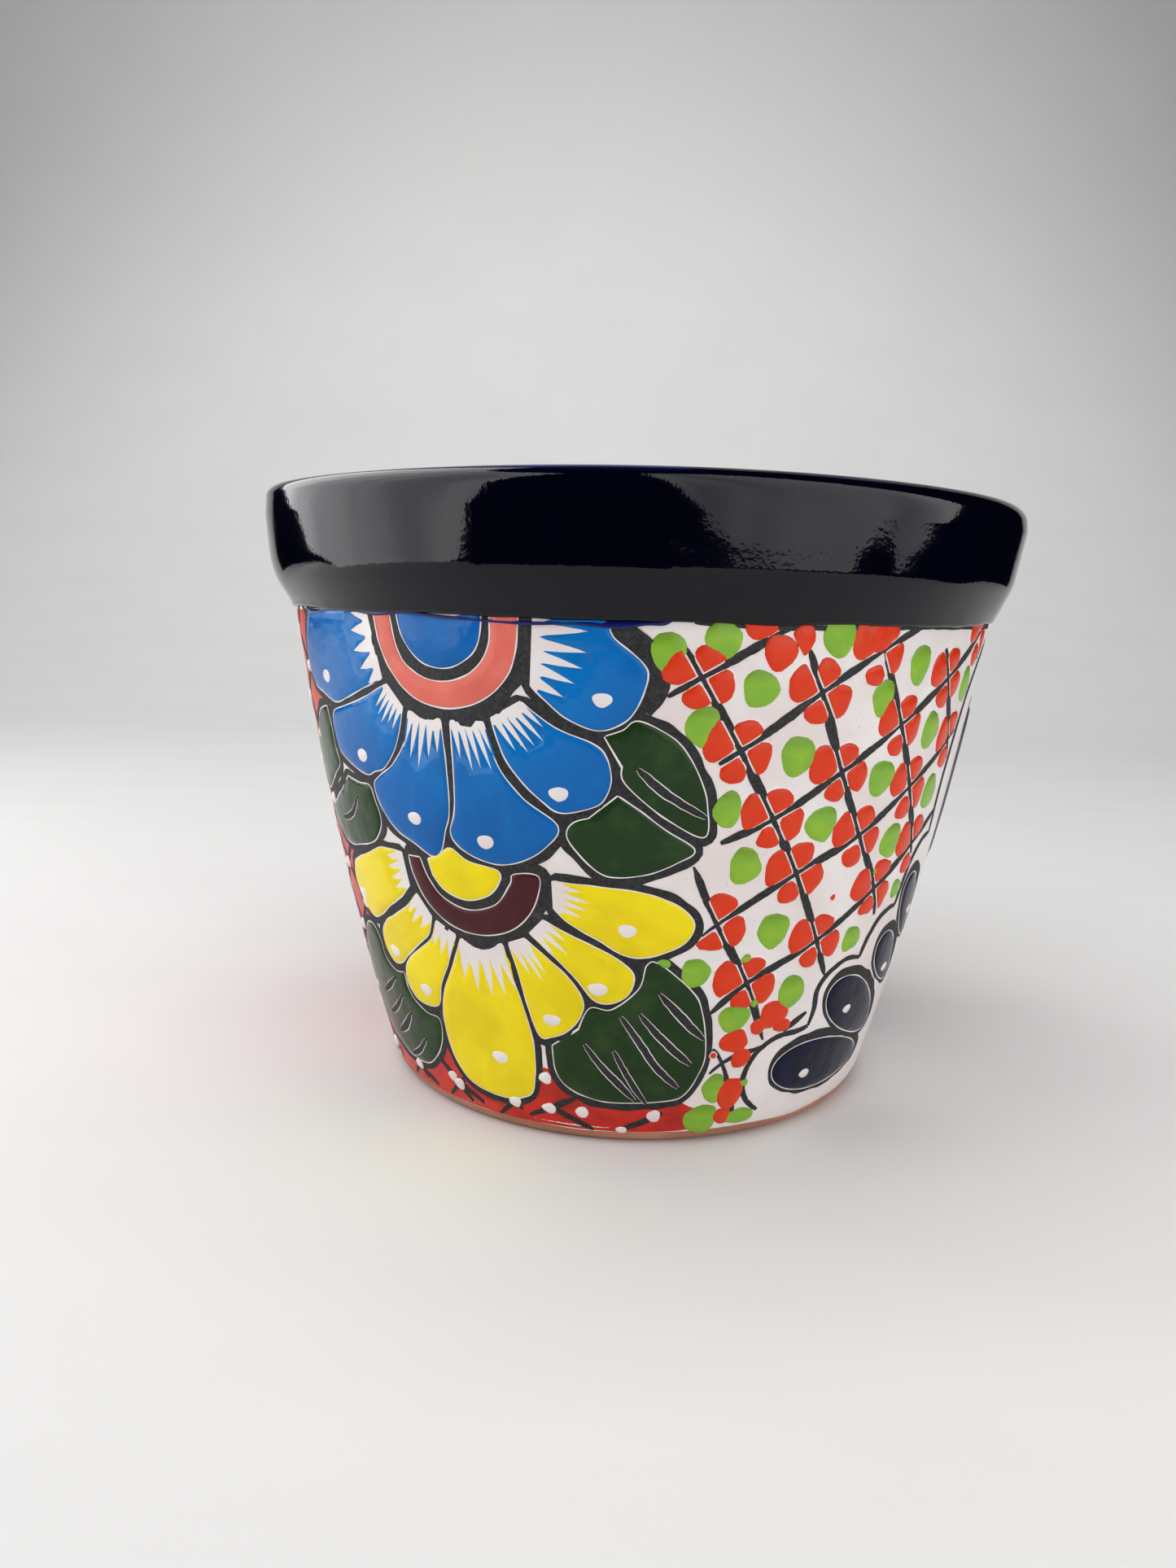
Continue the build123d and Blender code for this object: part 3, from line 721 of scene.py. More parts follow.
def turn_tree():
    """The tree that turns a flat ring (angle, height, distance from the axis) about the axis, a little unevenly."""
    inputs = [("Waver", "Float"), ("Waver starts at", "Float"), ("Dip", "Float"), ("Top", "Float"), ("Finish", "Material")]
    tree, graph, given = new_tree("Turn about the axis", inputs)
    turn, up, radius = graph.separate(graph.add("GeometryNodeInputPosition")[0])
    sway = (
        graph.math("SINE", 2 * turn + 0.6) * 0.34
        + graph.math("SINE", 3 * turn + 40 * up) * 0.26
        + graph.math("SINE", 5 * turn + 2.2) * 0.16
        + graph.math("SINE", 8 * turn - 130 * up) * 0.12
        + graph.math("SINE", 520 * up + 1.4 * graph.math("SINE", turn)) * 0.12
    )
    grip = graph.between(up, given["Waver starts at"], given["Waver starts at"] + 0.012)
    radius = radius - given["Waver"] * (0.5 + 0.5 * sway) * grip
    near_top = graph.between(up, given["Top"] - 0.016, given["Top"])
    droop = 0.5 - graph.math("COSINE", 3 * turn - 0.26) * 0.38 + graph.math("SINE", turn) * 0.12
    up = up - given["Dip"] * droop * near_top
    place = graph.combine(radius * graph.math("SINE", turn), -(radius * graph.math("COSINE", turn)), up)
    turned = graph.add("GeometryNodeSetPosition", values={"Geometry": given["Flat drawing"], "Position": place})[0]
    finish_tree(graph, turned, given["Finish"])
    return tree


def bake(piece, tree, values, sharp=40.0):
    """Runs a tree on a flat piece, and keeps what it makes as the piece's plain mesh."""
    modifier = piece.modifiers.new(tree.name, "NODES")
    modifier.node_group = tree
    for item in tree.interface.items_tree:
        if item.item_type == "SOCKET" and item.in_out == "INPUT" and item.name in values:
            modifier[item.identifier] = values[item.name]
    evaluated = piece.evaluated_get(bpy.context.evaluated_depsgraph_get())
    data = bpy.data.meshes.new_from_object(evaluated)
    data.name = piece.name
    piece.modifiers.remove(modifier)
    flat, piece.data = piece.data, data
    bpy.data.meshes.remove(flat)
    data.shade_smooth()
    data.set_sharp_from_angle(angle=math.radians(sharp))
    return piece


def shared_tree(name, make):
    """The tree of that name, made the first time that it is asked for."""
    return bpy.data.node_groups.get(name) or make()


def wall_values(finish):
    """What the wrap tree is told about the wall."""
    wall, size = Wall(), sizes()
    return {
        "Wall middle radius": wall.middle,
        "Bow radius": wall.bow_radius,
        "Bow centre from axis": wall.centre_r,
        "Bow centre height": wall.centre_z,
        "Foot rounding": size.foot_rounding,
        "Coat": size.coat,
        "Unevenness": size.unevenness,
        "Finish": finish,
    }


def wrapped(drawing, name, finish, *nodes, slot=None):
    """A finished piece from a flat drawing: wrapped on the wall, riding on the pot."""
    piece = bake(drawing.mesh(name), shared_tree("Wrap on the wall", wrap_tree), wall_values(finish))
    settle(piece, *nodes, slot=slot)
    return piece


def settle(piece, *nodes, slot=None):
    """Sets a piece to ride on the pot's root body and hides the imported nodes that it stands for; slot is not used."""
    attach(piece, "root")
    if nodes:
        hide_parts(*nodes)


def ring(profile_at, segments, scale):
    """A flat closed ring: profile_at gives the (up, rise) section at each angle, and it joins up with itself."""
    drawing = Drawing()
    count = 0
    for step in range(segments):
        angle = math.tau * step / segments - math.pi
        section = profile_at(angle)
        count = len(section)
        drawing.points += [(angle * scale, up, rise) for up, rise in section]
    drawing.uvs = [(x, y) for x, y, _ in drawing.points]
    for step in range(segments):
        after = (step + 1) % segments
        for i in range(count):
            j = (i + 1) % count
            drawing.faces.append((step * count + i, after * count + i, after * count + j, step * count + j))
    return drawing


# Finishes ----------------------------------------------------------------------------------------------------------


def new_finish(name):
    """A new material with its graph and the place of the point being shaded."""
    material = bpy.data.materials.new(name)
    material.use_nodes = True
    graph = Graph(material.node_tree)
    return material, graph, graph.add("ShaderNodeTexCoord")["Object"]


def shade(graph, values, bumps=()):
    """Ends a finish with one Principled shader. Each bump is a height, its strength and its depth."""
    normal = None
    for height, strength, depth in bumps:
        sockets = {"Height": height, "Strength": strength, "Distance": depth}
        if normal is not None:
            sockets["Normal"] = normal
        normal = graph.add("ShaderNodeBump", values=sockets)[0]
    if normal is not None:
        values = {**values, "Normal": normal}
    shader = graph.add("ShaderNodeBsdfPrincipled", values=values)[0]
    graph.add("ShaderNodeOutputMaterial", values={0: shader})


def tint(value, strength=1.0):
    """A colour property as a four-part colour, brighter or darker."""
    return (*[min(1.0, part * strength) for part in value], 1.0)


def clay_finish():
    """Fired clay: sandy, with paler salts and the rings that the thrower's fingers left."""
    material, graph, where = new_finish("bare_clay")
    paint = colours().clay
    cloud = graph.noise(where, 26.0, detail=5.0)
    speck = graph.noise(where, 900.0, detail=2.0)
    grit = graph.noise(where, 2600.0, detail=1.0)
    tone = graph.mix(graph.between(cloud, 0.3, 0.72), tint(paint, 0.78), tint(paint, 1.22))
    tone = graph.mix(graph.between(speck, 0.6, 0.75) * 0.5, tone, tint(paint, 0.5))
    tone = graph.mix(graph.between(graph.noise(where, 60.0, detail=3.0), 0.56, 0.8) * 0.35, tone, (0.62, 0.42, 0.32, 1))
    _, _, height = graph.separate(where)
    rings = graph.math("SINE", height * 1150 + graph.noise(where, 18.0) * 6)
    shade(
        graph,
        {"Base Color": tone, "Roughness": 0.86 + graph.noise(where, 300.0) * 0.1, "IOR": 1.45},
        [(rings, 0.35, 0.0005), (grit, 0.5, 0.0002), (speck, 0.4, 0.0003)],
    )
    return material


def white_finish():
    """Tin white: not quite even, a breath of the red clay showing through, with pinholes."""
    material, graph, where = new_finish("tin_white")
    paint = colours().white
    cloud = graph.noise(where, 55.0, detail=4.0)
    tone = graph.mix(graph.between(cloud, 0.35, 0.7), tint(paint), tint((0.78, 0.69, 0.665)))
    pin = graph.noise(where, 1500.0, detail=1.0)
    tone = graph.mix(graph.between(pin, 0.73, 0.8) * 0.6, tone, (0.42, 0.33, 0.3, 1))
    ripple = graph.noise(where, 150.0, detail=2.0)
    shade(
        graph,
        {"Base Color": tone, "Roughness": 0.16 + cloud * 0.12, "IOR": 1.5, "Specular IOR Level": 0.4},
        [(ripple, 0.35, 0.0006), (pin, 0.12, 0.0001)],
    )
    return material


def cobalt_finish(name="deep_cobalt", bright=0.0):
    """Thick cobalt glaze, almost black, that breaks to blue where it is thin; along the top of the lip that blue is
    partly thin glaze and partly a painted highlight.
    """
    material, graph, where = new_finish(name)
    paint = colours()
    _, _, height = graph.separate(where)
    pool = graph.noise(where, 38.0, detail=3.0)
    # Along the top 1.6 mm of the lip the tone turns blue: partly glaze thinning over the edge, partly a painted
    # highlight.
    edge = graph.between(height, RIM_TOP - 0.0016, RIM_TOP - 0.0002) * graph.between(pool, 0.35, 0.75)
    thin = graph.math("MAXIMUM", edge * 0.9, graph.between(pool, 0.62, 0.85) * 0.08)
    if bright:
        thin = graph.between(pool, 0.2, 0.7, bright * 0.6, bright)
    tone = graph.mix(thin, tint(paint.cobalt), tint(paint.cobalt_thin))
    ripple = graph.noise(where, 60.0, detail=1.0, distortion=0.3)
    orange_peel = graph.noise(where, 900.0, detail=1.0)
    shade(
        graph,
        {"Base Color": tone, "Roughness": 0.04 + pool * 0.05, "IOR": 1.5, "Specular IOR Level": 0.28},
        [(ripple, 0.14, 0.0010), (orange_peel, 0.3, 0.00006)],
    )
    return material


def black_finish():
    """Manganese black: matt and grainy, thinner in places."""
    material, graph, where = new_finish("matt_black")
    grain = graph.noise(where, 1300.0, detail=3.0)
    thin = graph.noise(where, 160.0, detail=3.0)
    tone = graph.mix(graph.between(grain, 0.3, 0.75), tint(colours().black, 0.7), tint(colours().black, 2.2))
    tone = graph.mix(graph.between(thin, 0.62, 0.8) * 0.35, tone, (0.10, 0.095, 0.095, 1))
    shade(graph, {"Base Color": tone, "Roughness": 0.52 + grain * 0.2, "IOR": 1.45, "Specular IOR Level": 0.3},
          [(grain, 0.5, 0.00012)])
    return material


def enamel_finish(name, main, second, streak=0.5, scale=(1.0, 1.0), root=0.0, gloss=0.17):
    """Glossy enamel laid on by brush: streaks of a second tone run along the strokes, more of it near a petal's
    root, and it pools darker."""
    material, graph, where = new_finish(name)
    stroke_uv = graph.add("ShaderNodeUVMap", {"uv_map": "stroke"})[0]
    u, v, _ = graph.separate(stroke_uv)
    brush = graph.noise(graph.combine(u * scale[0], v * scale[1], 0.0), 1.0, detail=4.0, roughness=0.6, distortion=0.25)
    cloud = graph.noise(where, 85.0, detail=3.0)
    second_part = graph.between(brush, 0.46, 0.72) * streak
    if root:
        near_root = graph.between(v + (brush - 0.5) * 1.6, 1.0, 2.3, 1.0, 0.0)
        second_part = graph.math("MINIMUM", second_part * (0.35 + near_root) + near_root * root, 1.0)
    tone = graph.mix(second_part, tint(main), tint(second))
    tone = graph.mix(graph.between(cloud, 0.35, 0.75) * 0.3, tone, tint(main, 0.55))
    ripple = graph.noise(where, 190.0, detail=2.0)
    grain = graph.noise(where, 1400.0, detail=1.0)
    values = {"Base Color": tone, "Roughness": 0.1 + cloud * 0.1, "IOR": 1.5, "Specular IOR Level": gloss}
    shade(graph, values, [(brush, 0.25, 0.0002), (ripple, 0.4, 0.0006), (grain, 0.08, 0.0001)])
    return material


def dab_finish(name, main, second, dark):
    """Enamel of a single dab: one tone at its top, another below, and a grainy pool."""
    material, graph, where = new_finish(name)
    up = graph.add("ShaderNodeAttribute", {"attribute_name": "up_the_dab"})["Fac"]
    cloud = graph.noise(where, 260.0, detail=3.0)
    tone = graph.mix(graph.between(cloud, 0.35, 0.75) * 0.6, tint(main), tint(second))
    tone = graph.mix(graph.between(up + cloud * 0.5, 0.85, 1.25) * dark, tone, tint(main, 0.35))
    shade(
        graph,
        {"Base Color": tone, "Roughness": 0.16 + cloud * 0.14, "IOR": 1.5, "Specular IOR Level": 0.28},
        [(cloud, 0.35, 0.0004)],
    )
    return material


def red_finish():
    """Red ground: brushed thinly, blotched, a little less glossy than the enamels."""
    material, graph, where = new_finish("red_ground")
    paint = colours().red
    blotch = graph.noise(where, 120.0, detail=5.0, roughness=0.6)
    streaks = graph.noise(graph.vector("MULTIPLY", where, (1, 1, 5)), 90.0, detail=3.0)
    tone = graph.mix(graph.between(blotch, 0.35, 0.7), tint(paint), tint(paint, 0.62))
    tone = graph.mix(graph.between(streaks, 0.55, 0.8) * 0.5, tone, (0.70, 0.06, 0.03, 1))
    shade(
        graph,
        {"Base Color": tone, "Roughness": 0.24 + blotch * 0.2, "IOR": 1.5, "Specular IOR Level": 0.3},
        [(blotch, 0.3, 0.0004)],
    )
    return material


def flat_finish(name, tone, roughness, sheen_level):
    """An even finish for what stands round the pot."""
    material, graph, where = new_finish(name)
    grain = graph.noise(where, 400.0, detail=3.0)
    values = {"Base Color": tone, "Roughness": roughness, "Specular IOR Level": sheen_level}
    shade(graph, values, [(grain, 0.04, 0.0002)])
    return material


def glow_finish(name, glow):
    """A glowing card that only the glaze sees: a painted reflection of the bright surroundings, a little uneven from
    side to side.
    """
    material, graph, where = new_finish(name)
    band = graph.noise(graph.vector("MULTIPLY", where, (1.0, 1.0, 0.15)), 7.0, detail=1.0)
    tone = graph.mix(graph.between(band, 0.3, 0.7), (0.62, 0.63, 0.68, 1), (1.0, 1.0, 1.0, 1))
    values = {"Base Color": (0.0, 0.0, 0.0, 1), "Emission Color": tone, "Emission Strength": glow,
              "Roughness": 1.0, "Specular IOR Level": 0.0}
    shade(graph, values)
    return material


def paper_finish():
    """Studio paper, with faint creases, that falls off into shade towards its top corners."""
    material, graph, where = new_finish("paper")
    across, _, up = graph.separate(where)
    aside = across + 0.08
    shade_off = graph.between(graph.math("SQRT", up * up + aside * aside * 0.6), 0.5, 1.25)
    tone = graph.mix(shade_off, tint(colours().floor), tint(colours().floor, 0.5))
    crease = graph.noise(graph.vector("MULTIPLY", where, (1.0, 2.5, 1.0)), 9.0, detail=3.0)
    tone = graph.mix(graph.between(crease, 0.35, 0.7) * 0.10, tone, tint(colours().floor, 0.8))
    values = {"Base Color": tone, "Roughness": 0.8, "Specular IOR Level": 0.2}
    shade(graph, values, [(crease, 0.25, 0.003), (graph.noise(where, 400.0, detail=3.0), 0.04, 0.0002)])
    return material


def finish(name, make, *values, **more):
    """The finish of that name, made the first time that it is asked for."""
    return bpy.data.materials.get(name) or make(*values, **more)


# Painted shapes in the flat ------------------------------------------------------------------------------------------


def petal_outlines(petals, centre, ring_line, clear, seed):
    """For each petal: its whole outline, cut back from its flower's ring, and the outline of its pool, whose root
    the brush left as white spikes between thin tongues of colour."""
    wall = Wall()
    heart = np.array(wall.flat([centre])[0])
    random = np.random.default_rng(seed)
    made = []
    for points, _, spikes, bare, depth in petals:
        line = smooth_line(wall.flat(points), 0.7 * MM)
        line = line[edge_distance(line, ring_line) > clear]
        start, end = line[0], line[-1]

        def root(t, inward):
            spot = end + (start - end) * t
            away = (spot - heart) / np.linalg.norm(spot - heart)
            return spot + away * inward * MM

        teeth = []
        for spike in range(spikes):
            middle = 1 - abs(2 * (spike + 0.5) / spikes - 1)
            reach = bare + (depth - bare) * (0.6 + 0.4 * middle) * random.uniform(0.8, 1.12)
            at = (spike + random.uniform(0.42, 0.58)) / spikes
            for share, side in ((0.12, -0.40), (0.5, -0.24), (1.0, 0.0), (0.5, 0.24), (0.12, 0.40)):
                teeth.append(root(at + side / spikes, bare + (reach - bare) * share))
            if spike < spikes - 1:
                teeth.append(root((spike + 1) / spikes, bare * random.uniform(0.6, 1.5)))
        made.append((line, np.concatenate([[root(1, bare)], line[3:-3], [root(0, bare)], np.array(teeth)])))
    return made


def egg(middle, tilt, half_length, half_width):
    """The flat outline of one petal of the fan: an egg, blunter at its upper end."""
    wall = Wall()
    (x, y), lean = wall.flat([middle])[0], math.radians(tilt)
    squeeze = wall.middle / wall.radius(y)
    line = []
    for step in range(96):
        turn = math.tau * step / 96
        along = half_length * math.cos(turn) * MM
        across = half_width * math.sin(turn) * (1 - math.cos(turn) / 4) * MM
        line.append((x + (along * math.cos(lean) - across * math.sin(lean)) * squeeze,
                     y + along * math.sin(lean) + across * math.cos(lean)))
    return np.array(line)


def closed_line(points, step=0.8 * MM):
    """A smooth flat line through (degrees, millimetres) points, closed by a straight run."""
    return smooth_line(Wall().flat(points), step)


def both_sides(line):
    """A flat line on the front and its copy on the far side."""
    return [np.array(line), far_side(line)]


def polar_uv(centre, far):
    """UV round a flower's heart: angle across, distance out, for strokes that run out from the ring."""
    heart = np.array(Wall().flat([centre])[0])
    if far:
        heart = far_side([heart])[0]

    def uv(flat):
        rel = flat - heart
        return np.stack([np.arctan2(rel[:, 1], rel[:, 0]) * 9, np.linalg.norm(rel, axis=1) / 0.02], 1)

    return uv


def flat_uv(flat):
    """UV in centimetres of wall, beyond where a petal's root would be."""
    return flat / 0.01 + (0, 4.0)


def lay(drawing, line, base, spacing=2.4 * MM):
    """A brushed layer of one thickness, cut off at the collar."""
    drawing.fill(line, level(base), spacing, rows=(), top=COLLAR_BOTTOM, uv=flat_uv)


def pool(drawing, line, uv=flat_uv, base=0.15 * MM, height=None):
    """A pool of enamel with rounded edges, cut off at the collar."""
    size = sizes()
    shape = pillow(base, height or size.pool_rise, size.pool_shoulder)
    drawing.fill(line, shape, 1.5 * MM, rows=(0.4 * MM, 1.0 * MM), top=COLLAR_BOTTOM, uv=uv)


def all_pools():
    """Every enamel pool: its colour, its whole outline, its pool outline, its flower's centre and its side."""
    pools = []
    flowers = (
        ("blue", BLUE_PETALS, BLUE_CENTRE, CORAL_RING, 2.9 * MM, 3),
        ("yellow", YELLOW_PETALS, YELLOW_CENTRE, MAROON_RING, 2.2 * MM, 8),
    )
    for name, petals, centre, ring_points, clear, seed in flowers:
        ring_line = closed_line(ring_points, 0.7 * MM)
        for whole, fringed in petal_outlines(petals, centre, ring_line, clear, seed):
            pools.append((name, whole, fringed, centre))
    for name, points in (("blue", BLUE_DISC), ("yellow", YELLOW_DISC), ("coral", CORAL_RING), ("maroon", MAROON_RING)):
        pools.append((name, closed_line(points, 0.7 * MM), None, None))
    for leaf in LEAVES:
        pools.append(("leaf", closed_line(leaf, 0.7 * MM), None, None))
    for middle, tilt, half_length, half_width, _ in FAN_PETALS:
        pools.append(("navy", egg(middle, tilt, half_length, half_width), None, None))
    laid = []
    for name, whole, fringed, centre in pools:
        for far in (False, True):
            turned = (lambda line: far_side(line)) if far else (lambda line: line)
            laid.append((name, turned(whole), turned(whole if fringed is None else fringed), centre, far))
    return laid


# Pieces --------------------------------------------------------------------------------------------------------------


class POT_OT_clay(bpy.types.Operator):
    """Gives the clay floor and wall their bare fired finish."""

    bl_idname = "pot.clay"
    bl_label = "Bare clay"

    def execute(self, context):
        clay = finish("bare_clay", clay_finish)
        for node in ("clay_floor", "clay_wall"):
            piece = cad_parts[node]
            piece.data.materials.clear()
            piece.data.materials.append(clay)
        return {"FINISHED"}


def collar_section(angle=0.0):
    """The collar's face as (distance, height) points, from its rolled lower edge over the lip. The thrower left its
    lip sharper and its crease fuller on the left."""
    wall, size = Wall(), sizes()
    left = max(0.0, math.cos(angle + 1.5)) ** 2
    lip = (4.8 - 2.2 * left) * MM
    inside_face = wall.radius(RIM_TOP, -size.wall_thickness - 0.5 * MM)
    crease = np.array((RIM_RADIUS - (2.2 - 1.1 * left) * MM, COLLAR_BOTTOM + (8.4 - 0.6 * left) * MM))
    widest = (RIM_RADIUS, RIM_TOP - 7.0 * MM)
    line = [(NECK_RADIUS + r * MM, COLLAR_BOTTOM + z * MM)
            for r, z in ((0.2, -1.0), (0.75, -1.05), (1.2, -0.8), (1.45, -0.35), (1.7, 0.35))]
    low, high = np.array(line[-1]), np.array(widest)
    before, after = crease + (low - crease) * (0.25 + 0.3 * left), crease + (high - crease) * (0.12 + 0.3 * left)
    line += [tuple(low + (before - low) * t) for t in np.linspace(0, 1, 8)[1:]]
    line += [tuple(before * (1 - t) ** 2 + crease * (2 * t * (1 - t)) + after * t**2) for t in np.linspace(0, 1, 10)[1:]]
    line += [tuple(after + (high - after) * t) for t in np.linspace(0, 1, 9)[1:]]
    for centre, radius, start in (((RIM_RADIUS - 0.2 * MM - lip, RIM_TOP - lip), lip, 0.0),
                                  ((inside_face + 4.5 * MM, RIM_TOP - 4.5 * MM), 4.5 * MM, math.pi / 2)):
        for turn in np.linspace(start, start + math.pi / 2, 14)[1:]:
            line.append((centre[0] + radius * math.cos(turn), centre[1] + radius * math.sin(turn)))
    return line


class POT_OT_collar(bpy.types.Operator):
    """Builds the thrown collar: its clay, and the cobalt glaze that covers it and runs over the lip."""

    bl_idname = "pot.collar"
    bl_label = "Collar and its glaze"

    def execute(self, context):
        wall, size = Wall(), sizes()
        tree = shared_tree("Turn about the axis", turn_tree)
        values = {
            "Waver": size.rim_waver,
            "Waver starts at": COLLAR_BOTTOM,
            "Dip": size.rim_dip,
            "Top": RIM_TOP,
        }

        def glaze_section(angle):
            face = collar_section(angle)
            about = (math.cos(angle), math.sin(angle))
            low = RIM_TOP - INNER_EDGE - 1.4 * MM * noise.noise(Vector((about[0] * 2.2, about[1] * 2.2, 3.0)))
            drip = 0.9 * MM * noise.noise(Vector((about[0] * 3.5, about[1] * 3.5, 8.0)))
            drip += 0.3 * MM * noise.noise(Vector((about[0] * 14, about[1] * 14, 2.0)))
            start = face[-1]
            levels = start[1] + (low - start[1]) * np.linspace(0, 1, 8)[1:]
            inner = [(wall.radius(z, -size.wall_thickness - 0.5 * MM), z) for z in levels]
            outer = [(r, z + drip * max(0.0, 1 - k / 6)) for k, (r, z) in enumerate(face)]
            hidden = [(inner[-1][0] + 1.2 * MM, low + 0.4 * MM), (start[0] + 1.6 * MM, start[1])]
            hidden += [(r - 1.6 * MM, z) for r, z in reversed(face[16:30])]
            hidden += [(NECK_RADIUS - 0.6 * MM, COLLAR_BOTTOM + 0.5 * MM)]
            return [(z, r) for r, z in outer + inner + hidden]

        def clay_section(angle):
            face = collar_section(angle)
            low = COLLAR_BOTTOM + 10.0 * MM
            inner = [(wall.radius(z, -size.wall_thickness), z) for z in np.linspace(RIM_TOP - 7 * MM, low, 14)]
            outer = [(r - 1.8 * MM, z) for r, z in face[16:30]]
            return [(z, r) for r, z in outer + inner + [(NECK_RADIUS - 0.5 * MM, low)]]

        glaze = ring(glaze_section, 360, 1.0).mesh("cobalt_collar")
        settle(bake(glaze, tree, {**values, "Finish": finish("deep_cobalt", cobalt_finish)}), "collar_glaze",
               slot="cobalt_glaze")
        clay = ring(clay_section, 240, 1.0).mesh("clay_rim")
        settle(bake(clay, tree, {**values, "Finish": finish("bare_clay", clay_finish)}), "clay_collar", slot="clay")
        return {"FINISHED"}


class POT_OT_white_coat(bpy.types.Operator):
    """Coats the wall in tin white, from just above the foot to the collar."""

    bl_idname = "pot.white_coat"
    bl_label = "White coat"

    def execute(self, context):
        size, wall = sizes(), Wall()

        def section(angle):
            waver = 0.9 * MM * noise.noise(Vector((math.cos(angle) * 4, math.sin(angle) * 4, 1.0)))
            low = size.coat_bottom + waver
            outside = [(low + (COLLAR_BOTTOM - low) * t, 0.0) for t in np.linspace(0, 1, 96)]
            outside[0] = (low, -0.22 * MM)
            return outside + [(COLLAR_BOTTOM, -0.36 * MM), (low, -0.36 * MM)]

        wrapped(ring(section, 384, wall.middle), "white_coat", finish("tin_white", white_finish), "wall_glaze",
                slot="white_glaze")
        return {"FINISHED"}


class POT_OT_red_ground(bpy.types.Operator):
    """Brushes the red ground beyond the leaves and along the foot."""

    bl_idname = "pot.red_ground"
    bl_label = "Red ground"

    def execute(self, context):
        ground = Drawing()
        line = smooth_line(Wall().flat(RED_GROUND[1:-1]), 1.2 * MM)
        left = Wall().flat([(-104, 4), (-104, 131)])
        line = np.concatenate([line, np.array(left)])
        for side, turned in enumerate(both_sides(line)):
            lay(ground, turned, (0.035 + 0.006 * side) * MM)
        wrapped(ground, "red_ground", finish("red_ground", red_finish))
        return {"FINISHED"}


class POT_OT_outlines(bpy.types.Operator):
    """Brushes the black outlines of petals and leaves, and the white line that each leaves bare inside it."""

    bl_idname = "pot.outlines"
    bl_label = "Black outlines"

    def execute(self, context):
        size = sizes()
        black, halos = Drawing(), Drawing()
        for number, (name, whole, _, _, far) in enumerate(all_pools()):
            width = size.halo + size.outline * self.breadth(name, whole)
            line = grown(whole, width, 0.55 * MM, seed=number)
            if name == "navy":
                line = line + np.array([-0.5 if far else 0.5, 0.7]) * MM
            lay(black, line, (0.085 + number * 0.0004) * MM)
            lay(halos, grown(whole, size.halo, 0.16 * MM, seed=number + 100), (0.135 + number * 0.0002) * MM)
        wrapped(black, "black_outlines", finish("matt_black", black_finish))
        wrapped(halos, "white_halos", finish("tin_white", white_finish))
        return {"FINISHED"}

    def breadth(self, name, whole):
        """How many times the common width an outline has: rings are ringed broadly, and discs fill their rings."""
        small = np.ptp(whole[:, 0]) < 23 * MM and name in ("blue", "yellow") and np.ptp(whole[:, 1]) < 19 * MM
        if small:
            return 2.2
        return {"navy": 0.95, "coral": 1.6, "maroon": 1.3}.get(name, 1.0)


class POT_OT_enamels(bpy.types.Operator):
    """Lays the raised pools of coloured enamel, one piece for each colour."""

    bl_idname = "pot.enamels"
    bl_label = "Enamel pools"

    def execute(self, context):
        paint = colours()
        finishes = {
            "blue": ("blue_glass", paint.blue, paint.azure, 0.6, (0.9, 0.8), 0.6),
            "yellow": ("yellow_glass", paint.yellow, (0.84, 0.56, 0.003), 0.35, (0.9, 0.8)),
            "leaf": ("leaf_glass", paint.leaf, (0.035, 0.085, 0.02), 0.5, (1.0, 1.0)),
            "coral": ("coral_glass", paint.coral, (0.80, 0.30, 0.24), 0.4, (0.8, 0.8)),
            "maroon": ("maroon_glass", paint.maroon, (0.11, 0.02, 0.025), 0.4, (0.8, 0.8)),
            "navy": ("navy_glass", paint.navy, (0.006, 0.014, 0.07), 0.4, (1.2, 1.2), 0.0, 0.14),
        }
        pools = all_pools()
        for name, (title, *look) in finishes.items():
            drawing = Drawing()
            for kind, _, line, centre, far in pools:
                if kind == name:
                    pool(drawing, line, uv=polar_uv(centre, far) if centre else flat_uv)
            glass = finish(title, enamel_finish, title, *look)
            wrapped(drawing, f"{name}_pools", glass, f"{name}_enamel", slot=f"{name}_enamel")
        return {"FINISHED"}


def runs_inside(line, field):
    """The stretches of a flat line that lie inside a closed outline."""
    within = inside(line, field)
    runs, run = [], []
    for point, kept in zip(line, within):
        if kept:
            run.append(point)
        elif run:
            runs.append(np.array(run))
            run = []
    if run:
        runs.append(np.array(run))
    return [run for run in runs if len(run) > 3]


